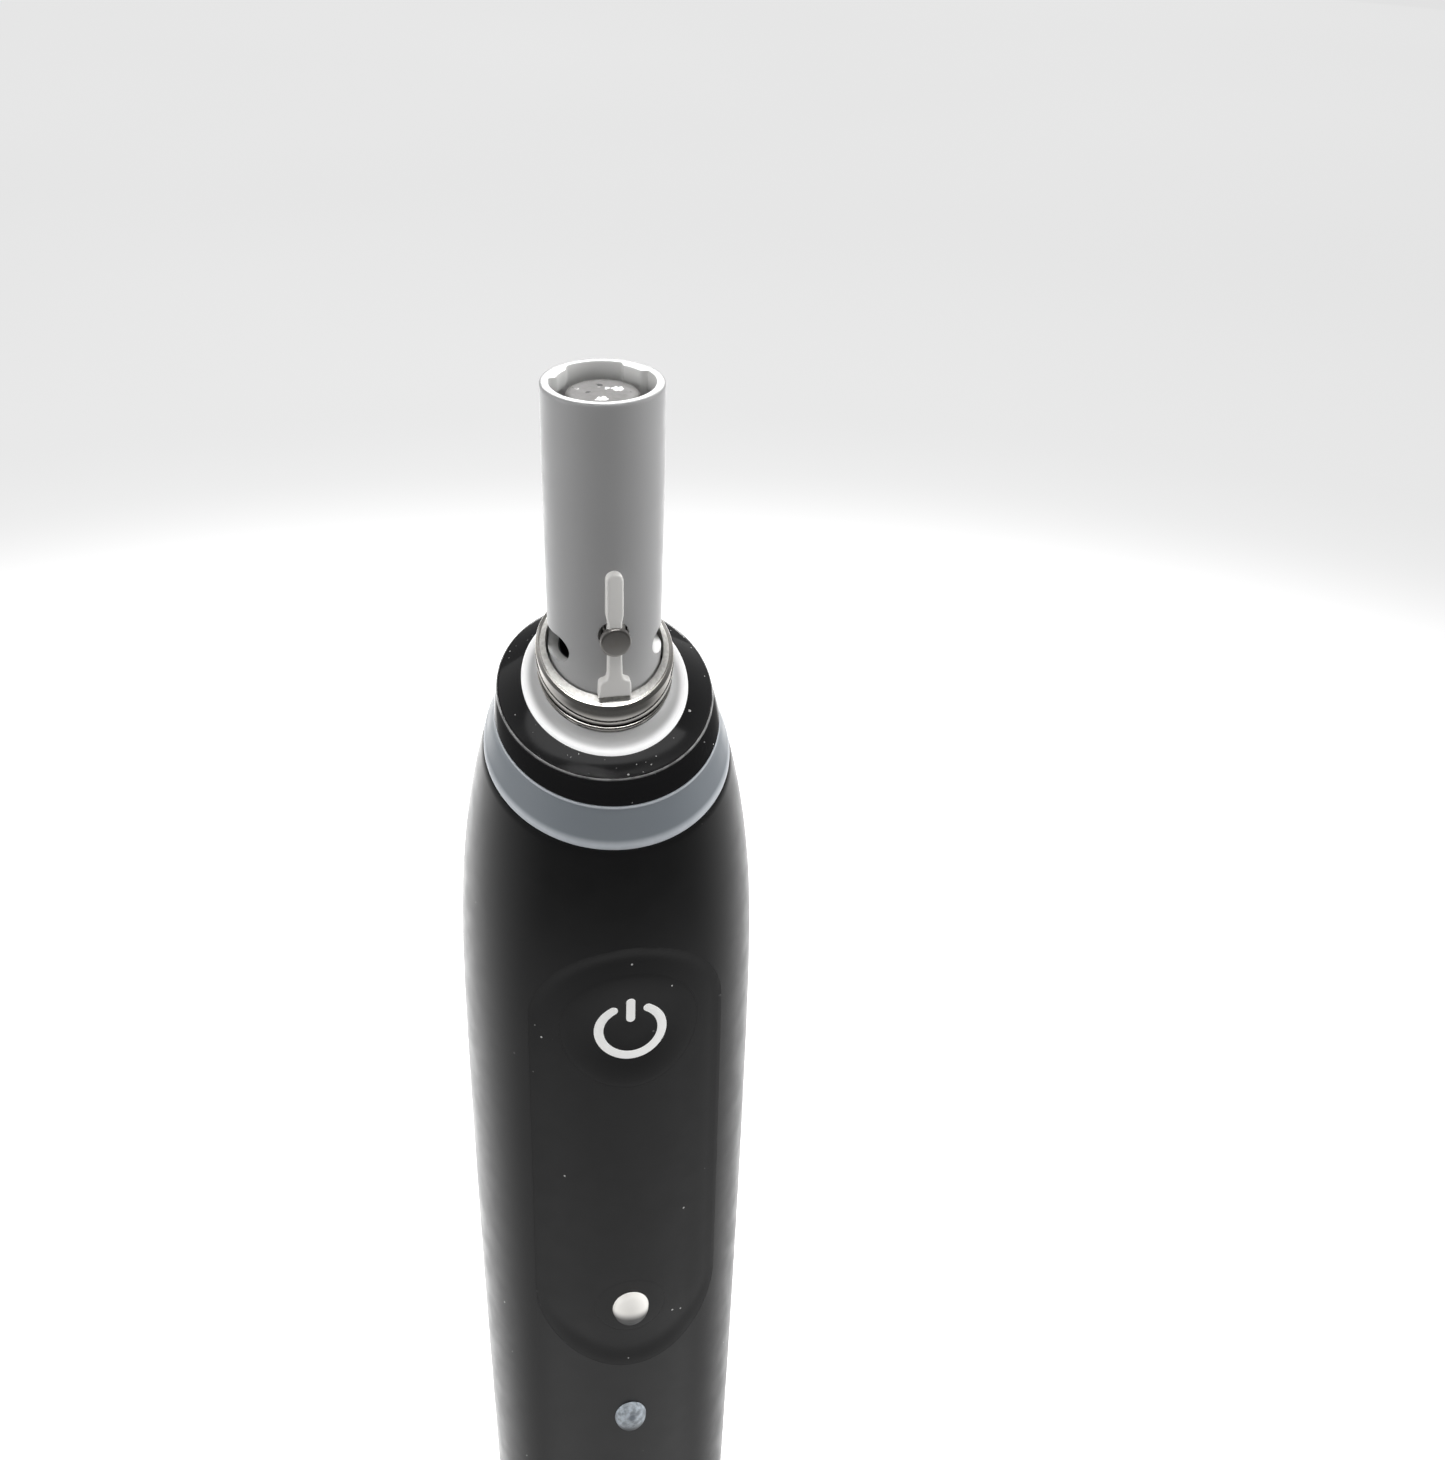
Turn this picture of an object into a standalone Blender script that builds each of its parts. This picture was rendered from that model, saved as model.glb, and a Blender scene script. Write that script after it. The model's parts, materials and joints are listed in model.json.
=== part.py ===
"""Electric toothbrush handle standing on its charging base.

Metres, +Z up, front towards -Y. The origin is the middle of the base's underside.
The handle's own heights are measured from its ring plane: the point on the handle's axis where
the plane under the light ring crosses it. The neck's planes lean, lower at the front.
"""

import math

import bmesh
import bpy
from mathutils import Matrix, Vector

MM = 0.001
GAP = 0.3 * MM

# Resolution of turned pieces
BODY_STEPS = 36
SMALL_STEPS = 20
PIN_STEPS = 12

# Charging base
BASE_RADIUS = 30.0 * MM
FOOT_HEIGHT = 0.6 * MM
SEAT_HEIGHT = 15.0 * MM
SEAT_RADIUS = 11.9 * MM
SEAT_RIM_HEIGHT = 1.2 * MM
POST_RADIUS = 4.3 * MM
POST_LENGTH = 11.5 * MM
BASE_WALL = 1.8 * MM
BASE_PLATE_LOW = FOOT_HEIGHT + GAP
BASE_PLATE_THICKNESS = 1.8 * MM
BASE_SCREW_CIRCLE = 20.0 * MM
BASE_SCREW_ANGLES = (30, 150, 270)
BASE_SCREW_SHANK = 0.8 * MM
GLAND_HEIGHT = 6.4 * MM
GLAND_RADIUS = 2.6 * MM
CORD_BORE = 1.5 * MM

# Handle body, a turned shape that swells to its belly
HANDLE_BELOW_RING = 155.0 * MM
RING_Z = SEAT_HEIGHT + GAP + HANDLE_BELOW_RING
BELLY_RADIUS = 14.0 * MM
BELLY_HEIGHT = -28.0 * MM
NECK_RISE = 33.0 * MM
NECK_DROP = 4.29 * MM
NECK_POWER = 2.7
TAIL_RISE = 92.0 * MM
TAIL_DROP = 1.85 * MM
TAIL_POWER = 1.5
BODY_WALL = 2.0 * MM
FOOT_ROUND = 1.6 * MM

# Leaning neck
BODY_LEAN = math.tan(math.radians(20.3))
NECK_LEAN = math.tan(math.radians(25.0))
BACK_FILL_START = -20.0 * MM
BACK_FILL_FULL = 4.0 * MM
BACK_REACH = 10.0 * MM
LIGHT_RING_HEIGHT = 3.7 * MM
RING_INNER = 9.2 * MM
CREASE_RADIUS = 9.84 * MM
CREASE_HEIGHT = 4.97 * MM
COLLAR_RADIUS = 7.56 * MM
COLLAR_HEIGHT = 5.99 * MM
STEEL_RADIUS = 6.26 * MM
STEEL_TOP = 9.40 * MM

# Drive sleeve and what it carries
SLEEVE_TOP = 34.7 * MM
SLEEVE_STEP = 23.7 * MM
SLEEVE_RADIUS = 5.34 * MM
SLEEVE_BORE = 4.5 * MM
SLEEVE_LAND = 3.9 * MM
WINDOW_HEIGHT = 11.0 * MM
WINDOW_TALL = 2.2 * MM
KEY_TOP = 19.5 * MM
KEY_FOOT = 7.4 * MM
KEY_WIDTH = 1.52 * MM
KEY_FOOT_WIDTH = 3.0 * MM
KEY_INNER_Y = -5.5 * MM
KEY_OUTER_Y = -6.2 * MM
PIN_HEIGHT = 13.0 * MM
PIN_HEAD = 1.35 * MM
PIN_HOLE = 1.5 * MM
TIP_RADIUS = 3.2 * MM
TIP_RECESS = 1.3 * MM
SHAFT_RADIUS = 1.9 * MM
SHAFT_LOW = -52.0 * MM

# Control panel and its buttons
PANEL_HIGH = -14.4 * MM
PANEL_LOW = -68.0 * MM
PANEL_WIDTH = 18.4 * MM
PANEL_RECESS = 0.25 * MM
POWER_HEIGHT = -23.55 * MM
POWER_RADIUS = 6.4 * MM
POWER_DISH = 0.7 * MM
ICON_RADIUS = 2.99 * MM
ICON_STROKE = 0.88 * MM
ICON_GAP_ANGLE = 34
MODE_HEIGHT = -59.5 * MM
MODE_RADIUS = 3.4 * MM
DOT_RADIUS = 1.85 * MM
INDICATOR_HEIGHT = -75.8 * MM
INDICATOR_RADIUS = 1.65 * MM
BUTTON_BACK_Y = -11.2 * MM
STEM_END_Y = -10.65 * MM
STEM_RADIUS = 1.2 * MM

# Inside the handle
CHASSIS_OUTER = 9.0 * MM
CHASSIS_INNER = 8.3 * MM
CHASSIS_TOP = -9.0 * MM
CHASSIS_BOTTOM = -118.0 * MM
BOARD_FRONT_Y = -9.0 * MM
BOARD_BACK_Y = -8.2 * MM
BOARD_HALF_WIDTH = 5.5 * MM
BATTERY_RADIUS = 7.1 * MM
BATTERY_TOP = -62.0 * MM
BATTERY_LENGTH = 50.0 * MM
MOTOR_RADIUS = 7.2 * MM
MOTOR_WALL = 0.6 * MM
MOTOR_TOP = -12.0 * MM
MOTOR_BOTTOM = -44.0 * MM
SOCKET_RADIUS = 4.7 * MM
SOCKET_DEPTH = 12.8 * MM
SOCKET_WALL = 0.8 * MM
CAP_RADIUS = 8.7 * MM
CAP_THICKNESS = 1.8 * MM


def start_empty():
    for obj in list(bpy.data.objects):
        bpy.data.objects.remove(obj, do_unlink=True)


def new_collection(name):
    collection = bpy.data.collections.new(name)
    bpy.context.scene.collection.children.link(collection)
    return collection


def look(name, colour, roughness, metallic=0.0):
    material = bpy.data.materials.new(name)
    material.use_nodes = True
    shader = material.node_tree.nodes["Principled BSDF"]
    shader.inputs["Base Color"].default_value = (*colour, 1.0)
    shader.inputs["Roughness"].default_value = roughness
    shader.inputs["Metallic"].default_value = metallic
    return material


# Placing: a part has a look, a cutter has none

def add_object(name, mesh, finish):
    obj = bpy.data.objects.new(name, mesh)
    if finish is None:
        CUTTERS.objects.link(obj)
        obj.hide_render = True
        obj.display_type = "WIRE"
    else:
        PARTS.objects.link(obj)
        mesh.materials.append(finish)
    return obj


def from_bmesh(name, shape, finish):
    mesh = bpy.data.meshes.new(name)
    shape.to_mesh(mesh)
    shape.free()
    return add_object(name, mesh, finish)


def settled(obj):
    """Turn an object's modifiers and transform into plain mesh, for moves on its points."""
    bpy.context.view_layer.update()
    depsgraph = bpy.context.evaluated_depsgraph_get()
    mesh = bpy.data.meshes.new_from_object(obj.evaluated_get(depsgraph))
    mesh.transform(obj.matrix_world)
    obj.modifiers.clear()
    obj.matrix_world = Matrix.Identity(4)
    obj.data = mesh
    return obj


# Shapes

def turned(name, outline, finish, steps=BODY_STEPS, closed=True):
    """Turn an outline of (radius, height) points about Z, outer side first and downwards."""
    mesh = bpy.data.meshes.new(name)
    count = len(outline)
    edges = [(i, i + 1) for i in range(count - 1)]
    if closed:
        edges.append((count - 1, 0))
    mesh.from_pydata([(radius, 0.0, height) for radius, height in outline], edges, [])
    obj = add_object(name, mesh, finish)
    screw = obj.modifiers.new("turn", "SCREW")
    screw.steps = steps
    screw.render_steps = steps
    screw.use_merge_vertices = True
    screw.merge_threshold = 0.00001
    screw.use_smooth_shade = True
    return obj


def tube_outline(outer, inner, high, low):
    return [(outer, high), (outer, low), (inner, low), (inner, high)]


def tube(name, outer, inner, high, low, finish, steps=SMALL_STEPS):
    return turned(name, tube_outline(outer, inner, high, low), finish, steps)


def rod(name, radius, start, end, finish, steps=SMALL_STEPS):
    start = Vector(start)
    end = Vector(end)
    axis = end - start
    turn = axis.to_track_quat("Z", "Y").to_matrix().to_4x4()
    place = Matrix.Translation((start + end) / 2) @ turn
    shape = bmesh.new()
    bmesh.ops.create_cone(
        shape, cap_ends=True, segments=steps, radius1=radius, radius2=radius,
        depth=axis.length, matrix=place,
    )
    return from_bmesh(name, shape, finish)


def box(name, low, high, finish):
    low = Vector(low)
    high = Vector(high)
    size = high - low
    place = Matrix.Translation((low + high) / 2) @ Matrix.Diagonal((*size, 1.0))
    shape = bmesh.new()
    bmesh.ops.create_cube(shape, size=1.0, matrix=place)
    return from_bmesh(name, shape, finish)


def plate(name, outline, thickness, finish):
    """A flat outline in X and Y, given thickness along Z about its own plane, as a mesh."""
    curve = bpy.data.curves.new(name, "CURVE")
    curve.dimensions = "2D"
    curve.fill_mode = "BOTH"
    curve.extrude = thickness / 2
    spline = curve.splines.new("POLY")
    spline.points.add(len(outline) - 1)
    for point, (x, y) in zip(spline.points, outline):
        point.co = (x, y, 0.0, 1.0)
    spline.use_cyclic_u = True
    guide = bpy.data.objects.new(name + "_outline", curve)
    CUTTERS.objects.link(guide)
    bpy.context.view_layer.update()
    depsgraph = bpy.context.evaluated_depsgraph_get()
    mesh = bpy.data.meshes.new_from_object(guide.evaluated_get(depsgraph))
    bpy.data.objects.remove(guide, do_unlink=True)
    shape = bmesh.new()
    shape.from_mesh(mesh)
    bmesh.ops.remove_doubles(shape, verts=shape.verts, dist=0.00001)
    bmesh.ops.recalc_face_normals(shape, faces=shape.faces)
    return from_bmesh(name, shape, finish)


def stand_up(obj, middle_y, height):
    """Turn a plate made in X and Y so that it faces -Y, with its own Y upwards."""
    obj.matrix_world = Matrix.Translation((0, middle_y, height)) @ Matrix.Rotation(math.pi / 2, 4, "X")
    return settled(obj)


def arc(centre, radius, start, end, steps):
    """Points on an arc, from one angle in degrees to the other."""
    points = []
    for i in range(steps + 1):
        angle = math.radians(start + (end - start) * i / steps)
        points.append((centre[0] + radius * math.cos(angle), centre[1] + radius * math.sin(angle)))
    return points


def stadium(width, height, steps=8):
    """A tall outline with half-round ends, about the origin."""
    radius = width / 2
    straight = height / 2 - radius
    return arc((0, straight), radius, 0, 180, steps) + arc((0, -straight), radius, 180, 360, steps)


def combine(obj, other, operation):
    modifier = obj.modifiers.new(operation.lower() + "_" + other.name, "BOOLEAN")
    modifier.operation = operation
    modifier.solver = "EXACT"
    modifier.object = other


def cut(obj, *cutters):
    for cutter in cutters:
        combine(obj, cutter, "DIFFERENCE")


def keep_inside(obj, guide):
    combine(obj, guide, "INTERSECT")


def join(obj, *others):
    for other in others:
        combine(obj, other, "UNION")


# The handle's form

def above_ring(height):
    return RING_Z + height


def body_radius(height):
    """The body's radius at a height from the ring plane."""
    if height > BELLY_HEIGHT:
        share = (height - BELLY_HEIGHT) / NECK_RISE
        return BELLY_RADIUS - NECK_DROP * share ** NECK_POWER
    share = (BELLY_HEIGHT - height) / TAIL_RISE
    return BELLY_RADIUS - TAIL_DROP * share ** TAIL_POWER


def body_side(high, low, count, inset=0.0):
    """Outline points down the body's side, closer together where it bends towards the neck."""
    points = []
    for i in range(count + 1):
        height = high + (low - high) * (i / count) ** 1.6
        points.append((body_radius(height) - inset, above_ring(height)))
    return points


def fill_back(obj):
    """Carry the body's back up with the leaning neck, so that its rings lean there too."""
    settled(obj)
    for vertex in obj.data.vertices:
        height = vertex.co.z - RING_Z
        share = (height - BACK_FILL_START) / (BACK_FILL_FULL - BACK_FILL_START)
        share = min(1.0, max(0.0, share))
        back = max(0.0, vertex.co.y)
        smooth = share * share * (3 - 2 * share)
        vertex.co.z += BODY_LEAN * smooth * back * back / BACK_REACH
    return obj


def lean(obj, slope):
    """Lean a turned piece's level faces, lower at the front, and keep its walls upright."""
    settled(obj)
    for vertex in obj.data.vertices:
        vertex.co.z += vertex.co.y * slope
    return obj


def round_foot(radius, height):
    """The rounded outer edge under the body."""
    return arc((radius - FOOT_ROUND, height + FOOT_ROUND), FOOT_ROUND, 0, -90, 3)


def body_form(name, inset=0.0):
    """The whole outer form of the body as a solid, to trim other pieces with."""
    top = 16.0 * MM
    side = body_side(9.0 * MM, -HANDLE_BELOW_RING, 12, inset)
    outline = [(0, above_ring(top)), (side[0][0], above_ring(top))] + side + [(0, side[-1][1])]
    return fill_back(turned(name, outline, None, closed=False))


def slab(name, outer, inner, high, low, finish):
    """A leaning ring-shaped solid about the body's axis."""
    return lean(tube(name, outer, inner, above_ring(high), above_ring(low), finish, BODY_STEPS), BODY_LEAN)


# Casing

def make_body_shell(finish):
    bottom = -HANDLE_BELOW_RING
    outer = body_side(7.0 * MM, bottom + FOOT_ROUND, 11)
    outer += round_foot(body_radius(bottom + FOOT_ROUND), above_ring(bottom))[1:]
    inner = body_side(7.0 * MM, bottom, 8, BODY_WALL)
    shell = fill_back(turned("body_shell", outer + inner[::-1], finish))
    cut(shell, slab("cut_above_shell", 20 * MM, 0.5 * MM, 30 * MM, -GAP / 2, None))
    middle = (PANEL_HIGH + PANEL_LOW) / 2
    opening = plate("cut_panel_opening", stadium(PANEL_WIDTH, PANEL_HIGH - PANEL_LOW), 12 * MM, None)
    cut(shell, stand_up(opening, -12 * MM, above_ring(middle)))
    cut(shell, front_rod("cut_indicator", INDICATOR_RADIUS + GAP, INDICATOR_HEIGHT, -20 * MM, -8 * MM, None))
    return shell


def front_rod(name, radius, height, front_y, back_y, finish, steps=SMALL_STEPS):
    """A round bar that points to the front, at a height from the ring plane."""
    level = above_ring(height)
    return rod(name, radius, (0, back_y, level), (0, front_y, level), finish, steps)


def make_light_ring(finish):
    ring = slab("light_ring", 16 * MM, RING_INNER, LIGHT_RING_HEIGHT - GAP / 2, GAP / 2, finish)
    keep_inside(ring, body_form("form_of_ring"))
    return ring


def make_neck_cap(finish):
    underside = LIGHT_RING_HEIGHT + GAP / 2
    skirt = RING_INNER - GAP
    seat = 3.1 * MM
    outline = [
        (CREASE_RADIUS, CREASE_HEIGHT),
        (CREASE_RADIUS + 1.36 * MM, underside),
        (skirt, underside),
        (skirt, -3.0 * MM),
        (7.8 * MM, -3.0 * MM),
        (7.8 * MM, 1.4 * MM),
        (6.9 * MM, 1.4 * MM),
        (6.9 * MM, seat),
        (COLLAR_RADIUS + GAP, seat),
        (COLLAR_RADIUS + GAP, 5.4 * MM),
    ]
    outline = [(radius, above_ring(height)) for radius, height in outline]
    cap = lean(turned("neck_cap", outline, finish), BODY_LEAN)
    keep_inside(cap, body_form("form_of_cap"))
    return cap


def make_neck_collar(finish):
    inner = STEEL_RADIUS + GAP
    low = 4.5 * MM
    outline = [
        (COLLAR_RADIUS - 0.25 * MM, COLLAR_HEIGHT + 0.05 * MM),
        (COLLAR_RADIUS, COLLAR_HEIGHT - 0.25 * MM),
        (COLLAR_RADIUS, low),
        (inner, low),
        (inner, COLLAR_HEIGHT + 0.45 * MM),
        (inner + 0.35 * MM, COLLAR_HEIGHT + 0.05 * MM),
    ]
    outline = [(radius, above_ring(height)) for radius, height in outline]
    return lean(turned("neck_collar", outline, finish), NECK_LEAN)


def make_steel_ring(finish):
    edge = 0.3 * MM
    outline = [
        (STEEL_RADIUS - edge, STEEL_TOP),
        (STEEL_RADIUS, STEEL_TOP - edge),
        (STEEL_RADIUS, 3.6 * MM),
        (5.5 * MM, 3.6 * MM),
        (5.5 * MM, STEEL_TOP),
    ]
    outline = [(radius, above_ring(height)) for radius, height in outline]
    return lean(turned("steel_ring", outline, finish), NECK_LEAN)


def make_bottom_cap(finish):
    low = above_ring(-HANDLE_BELOW_RING)
    cup = SOCKET_RADIUS + SOCKET_WALL
    outline = [
        (0, low + SOCKET_DEPTH + SOCKET_WALL),
        (cup, low + SOCKET_DEPTH + SOCKET_WALL),
        (cup, low + CAP_THICKNESS),
        (CAP_RADIUS, low + CAP_THICKNESS),
        (CAP_RADIUS, low),
        (SOCKET_RADIUS, low),
        (SOCKET_RADIUS, low + SOCKET_DEPTH),
        (0, low + SOCKET_DEPTH),
    ]
    return turned("bottom_cap", outline, finish, SMALL_STEPS, closed=False)


def make_bottom_seal(finish):
    low = above_ring(-HANDLE_BELOW_RING) + CAP_THICKNESS + GAP
    middle = (CAP_RADIUS - 0.55 * MM, low + 0.6 * MM)
    return turned("bottom_seal", arc(middle, 0.55 * MM, 90, -210, 5), finish, SMALL_STEPS)


# Control panel

def make_control_panel(finish):
    side = body_side(PANEL_HIGH + 2 * MM, PANEL_LOW - 2 * MM, 6, PANEL_RECESS)
    inner = body_side(PANEL_HIGH + 2 * MM, PANEL_LOW - 2 * MM, 3, BODY_WALL)
    panel = turned("control_panel", side + inner[::-1], finish)
    outline = stadium(PANEL_WIDTH - 2 * GAP, PANEL_HIGH - PANEL_LOW - 2 * GAP)
    middle = above_ring((PANEL_HIGH + PANEL_LOW) / 2)
    keep_inside(panel, stand_up(plate("keep_panel", outline, 11.8 * MM, None), -12 * MM, middle))
    cut(panel, front_rod("cut_power", POWER_RADIUS + GAP, POWER_HEIGHT, -20 * MM, -7 * MM, None))
    cut(panel, front_rod("cut_mode", MODE_RADIUS + GAP, MODE_HEIGHT, -20 * MM, -7 * MM, None))
    return panel


def make_power_button(finish):
    button = front_rod("power_button", POWER_RADIUS, POWER_HEIGHT, -16 * MM, BUTTON_BACK_Y, finish, 32)
    keep_inside(button, body_form("form_of_power", PANEL_RECESS))
    face_y = -body_radius(POWER_HEIGHT) + PANEL_RECESS
    dish = (POWER_RADIUS ** 2 + POWER_DISH ** 2) / (2 * POWER_DISH)
    ball = bmesh.new()
    bmesh.ops.create_uvsphere(ball, u_segments=32, v_segments=32, radius=dish)
    ball.transform(Matrix.Translation((0, face_y + POWER_DISH - dish, above_ring(POWER_HEIGHT))))
    cut(button, from_bmesh("cut_dish", ball, None))
    floor_y = -12.1 * MM
    pocket = ICON_RADIUS + ICON_STROKE + GAP
    cut(button, front_rod("cut_icon_pocket", pocket, POWER_HEIGHT, -20 * MM, floor_y, None))
    stem = front_rod("join_power_stem", STEM_RADIUS, POWER_HEIGHT, BUTTON_BACK_Y - 0.3 * MM, STEM_END_Y, None,
                     PIN_STEPS)
    join(button, stem)
    return button


def make_power_light_guide(finish):
    """A clear disc with the power symbol standing on it: a broken ring and a bar."""
    back_y = -12.4 * MM
    face_y = back_y - 0.5 * MM
    front_y = face_y - 0.3 * MM
    guide = front_rod("power_light_guide", ICON_RADIUS + ICON_STROKE, POWER_HEIGHT, face_y, back_y, finish)
    half = ICON_STROKE / 2
    start = 90 + ICON_GAP_ANGLE
    end = 450 - ICON_GAP_ANGLE
    ring = arc((0, 0), ICON_RADIUS + half, start, end, 20) + arc((0, 0), ICON_RADIUS - half, end, start, 20)
    bar = [(-half, 1.2 * MM), (half, 1.2 * MM), (half, 3.8 * MM), (-half, 3.8 * MM)]
    depth = abs(front_y - face_y) + 0.2 * MM
    for name, outline in (("join_icon_ring", ring), ("join_icon_bar", bar)):
        symbol = stand_up(plate(name, outline, depth, None), front_y + depth / 2, above_ring(POWER_HEIGHT))
        join(guide, symbol)
    return guide


def make_mode_button(finish):
    button = front_rod("mode_button", MODE_RADIUS, MODE_HEIGHT, -16 * MM, BUTTON_BACK_Y, finish)
    keep_inside(button, body_form("form_of_mode", PANEL_RECESS))
    cut(button, front_rod("cut_dot_pocket", DOT_RADIUS + GAP, MODE_HEIGHT, -20 * MM, -11.9 * MM, None))
    stem = front_rod("join_mode_stem", STEM_RADIUS, MODE_HEIGHT, BUTTON_BACK_Y - 0.3 * MM, STEM_END_Y, None,
                     PIN_STEPS)
    join(button, stem)
    return button


def make_lenses(finish):
    front_y = -body_radius(MODE_HEIGHT) + PANEL_RECESS + 0.1 * MM
    front_rod("mode_dot_lens", DOT_RADIUS, MODE_HEIGHT, front_y, -12.2 * MM, finish)
    front_y = -body_radius(INDICATOR_HEIGHT) + 0.1 * MM
    front_rod("indicator_lens", INDICATOR_RADIUS, INDICATOR_HEIGHT, front_y, -11.2 * MM, finish)


# Drive unit: everything that tips with the sleeve when the brush is pressed

def make_drive_sleeve(finish):
    top = above_ring(SLEEVE_TOP)
    step = above_ring(SLEEVE_STEP)
    edge = 0.2 * MM
    outline = [
        (SLEEVE_RADIUS - edge, top),
        (SLEEVE_RADIUS, top - edge),
        (SLEEVE_RADIUS - 0.07 * MM, step + 0.3 * MM),
        (SLEEVE_RADIUS - 0.13 * MM, step),
        (5.05 * MM, above_ring(8.0 * MM)),
        (5.05 * MM, above_ring(0.1 * MM)),
        (6.4 * MM, above_ring(0.1 * MM)),
        (6.4 * MM, above_ring(-2.0 * MM)),
        (4.2 * MM, above_ring(-2.0 * MM)),
        (4.2 * MM, above_ring(22.0 * MM)),
        (SLEEVE_BORE, step),
        (SLEEVE_BORE, top),
    ]
    sleeve = turned("drive_sleeve", outline, finish, 28)
    window = plate("cut_windows", stadium(WINDOW_TALL, 5.4 * MM, 6), 20 * MM, None)
    lie_across = Matrix.Rotation(math.pi / 2, 4, "Y")
    window.matrix_world = Matrix.Translation((0, -0.8 * MM, above_ring(WINDOW_HEIGHT))) @ lie_across
    cut(sleeve, settled(window))
    cut(sleeve, front_rod("cut_pin_hole", PIN_HOLE, PIN_HEIGHT, -8 * MM, -3 * MM, None, PIN_STEPS))
    for side in (-1, 1):
        join(sleeve, sleeve_land(side))
    return sleeve


def sleeve_land(side):
    """A thick stretch inside the rim at the back, which guides the brush head."""
    start = 90 - side * 30
    end = 90 - side * 65
    high = SLEEVE_TOP - 0.1 * MM
    outer = SLEEVE_BORE + 0.3 * MM
    outline = arc((0, 0), outer, start, end, 4) + arc((0, 0), SLEEVE_LAND, end, start, 4)
    land = plate(f"join_land_{'left' if side < 0 else 'right'}", outline, 7 * MM, None)
    land.location.z = above_ring(high) - 3.5 * MM
    return settled(land)


def make_sleeve_key(finish):
    """The front rib: rounded top, an eye for the pin, and shoulders that flare to a foot."""
    half = KEY_WIDTH / 2
    waist = 0.64 * MM
    foot = KEY_FOOT_WIDTH / 2
    right = [
        (half, PIN_HEIGHT + 3.4 * MM),
        (waist, PIN_HEIGHT + 1.6 * MM),
        (waist, PIN_HEIGHT - 1.6 * MM),
        (half, PIN_HEIGHT - 2.6 * MM),
        (half, KEY_FOOT + 2.0 * MM),
        (foot, KEY_FOOT + 1.1 * MM),
        (foot, KEY_FOOT),
    ]
    left = [(-x, z) for x, z in reversed(right)]
    top = arc((0, KEY_TOP - half), half, 180, 0, 8)
    key = stand_up(plate("sleeve_key", left + top + right, KEY_INNER_Y - KEY_OUTER_Y, finish),
                   (KEY_INNER_Y + KEY_OUTER_Y) / 2, RING_Z)
    eye = front_rod("join_key_eye", 1.25 * MM, PIN_HEIGHT, KEY_OUTER_Y, KEY_INNER_Y, None, PIN_STEPS)
    join(key, eye)
    cut(key, front_rod("cut_key_eye", 0.75 * MM, PIN_HEIGHT, -8 * MM, -4 * MM, None, PIN_STEPS))
    return key


def make_key_pin(finish):
    head_back = KEY_OUTER_Y - GAP
    pin = front_rod("key_pin", PIN_HEAD, PIN_HEIGHT, head_back - 0.45 * MM, head_back, finish, SMALL_STEPS)
    join(pin, front_rod("join_pin_shank", 0.45 * MM, PIN_HEIGHT, head_back - 0.2 * MM, -2.9 * MM, None, 12))
    return pin


def make_motor(steel, copper, plastic, spring):
    inside = MOTOR_RADIUS - MOTOR_WALL
    low = above_ring(MOTOR_BOTTOM)
    high = above_ring(MOTOR_TOP)
    shaft_hole = SHAFT_RADIUS + 0.5 * MM
    outline = [
        (MOTOR_RADIUS, high), (MOTOR_RADIUS, low), (shaft_hole, low),
        (shaft_hole, low + MOTOR_WALL), (inside, low + MOTOR_WALL), (inside, high),
    ]
    turned("motor_can", outline, steel, SMALL_STEPS)
    tube("motor_end_plate", MOTOR_RADIUS, shaft_hole, high + GAP + 1.0 * MM, high + GAP, plastic)
    tube("motor_coil", inside - GAP, 4.9 * MM, above_ring(-20.0 * MM), above_ring(-36.0 * MM), copper)
    frame_low = high + 2 * GAP + 1.0 * MM
    tube("drive_frame", 6.2 * MM, 5.2 * MM, above_ring(-2.0 * MM) - GAP, frame_low, plastic)
    for name, height in (("upper_leaf_spring", -15.5), ("lower_leaf_spring", -41.0)):
        level = above_ring(height * MM)
        leaf_spring(name, inside - GAP, shaft_hole, level, spring)


def leaf_spring(name, outer, inner, level, finish):
    """A flat spring: a thin disc with three slots between its rim and its hub."""
    disc = tube(name, outer, inner, level + 0.4 * MM, level, finish)
    slot = arc((0, 0), 5.2 * MM, 0, 84, 4) + arc((0, 0), 4.2 * MM, 84, 0, 4)
    for i in range(3):
        cutter = plate(f"cut_{name}_{i + 1}", slot, 3 * MM, None)
        cutter.rotation_euler.z = math.radians(120 * i)
        cutter.location.z = level
        cut(disc, settled(cutter))


def make_mover(steel, plastic, magnet, rubber):
    """The shaft and what rides on it: the tip, the magnet and its seal in the sleeve."""
    tip_top = above_ring(SLEEVE_TOP - TIP_RECESS)
    shaft_top = tip_top - 3.2 * MM
    rod("drive_shaft", SHAFT_RADIUS, (0, 0, above_ring(SHAFT_LOW)), (0, 0, shaft_top), steel)
    socket = SHAFT_RADIUS + GAP
    outline = [
        (0, tip_top), (TIP_RADIUS - 0.3 * MM, tip_top), (TIP_RADIUS, tip_top - 0.3 * MM),
        (TIP_RADIUS, tip_top - 7.0 * MM), (socket, tip_top - 7.0 * MM),
        (socket, shaft_top + GAP), (0, shaft_top + GAP),
    ]
    turned("drive_tip", outline, plastic, SMALL_STEPS, closed=False)
    tube("magnet_armature", 4.5 * MM, socket, above_ring(-18.5 * MM), above_ring(-37.5 * MM), magnet)
    tube("shaft_seal", 3.9 * MM, SHAFT_RADIUS + 0.4 * MM, above_ring(5.0 * MM), above_ring(2.0 * MM), rubber)


# Inside the handle

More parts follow.
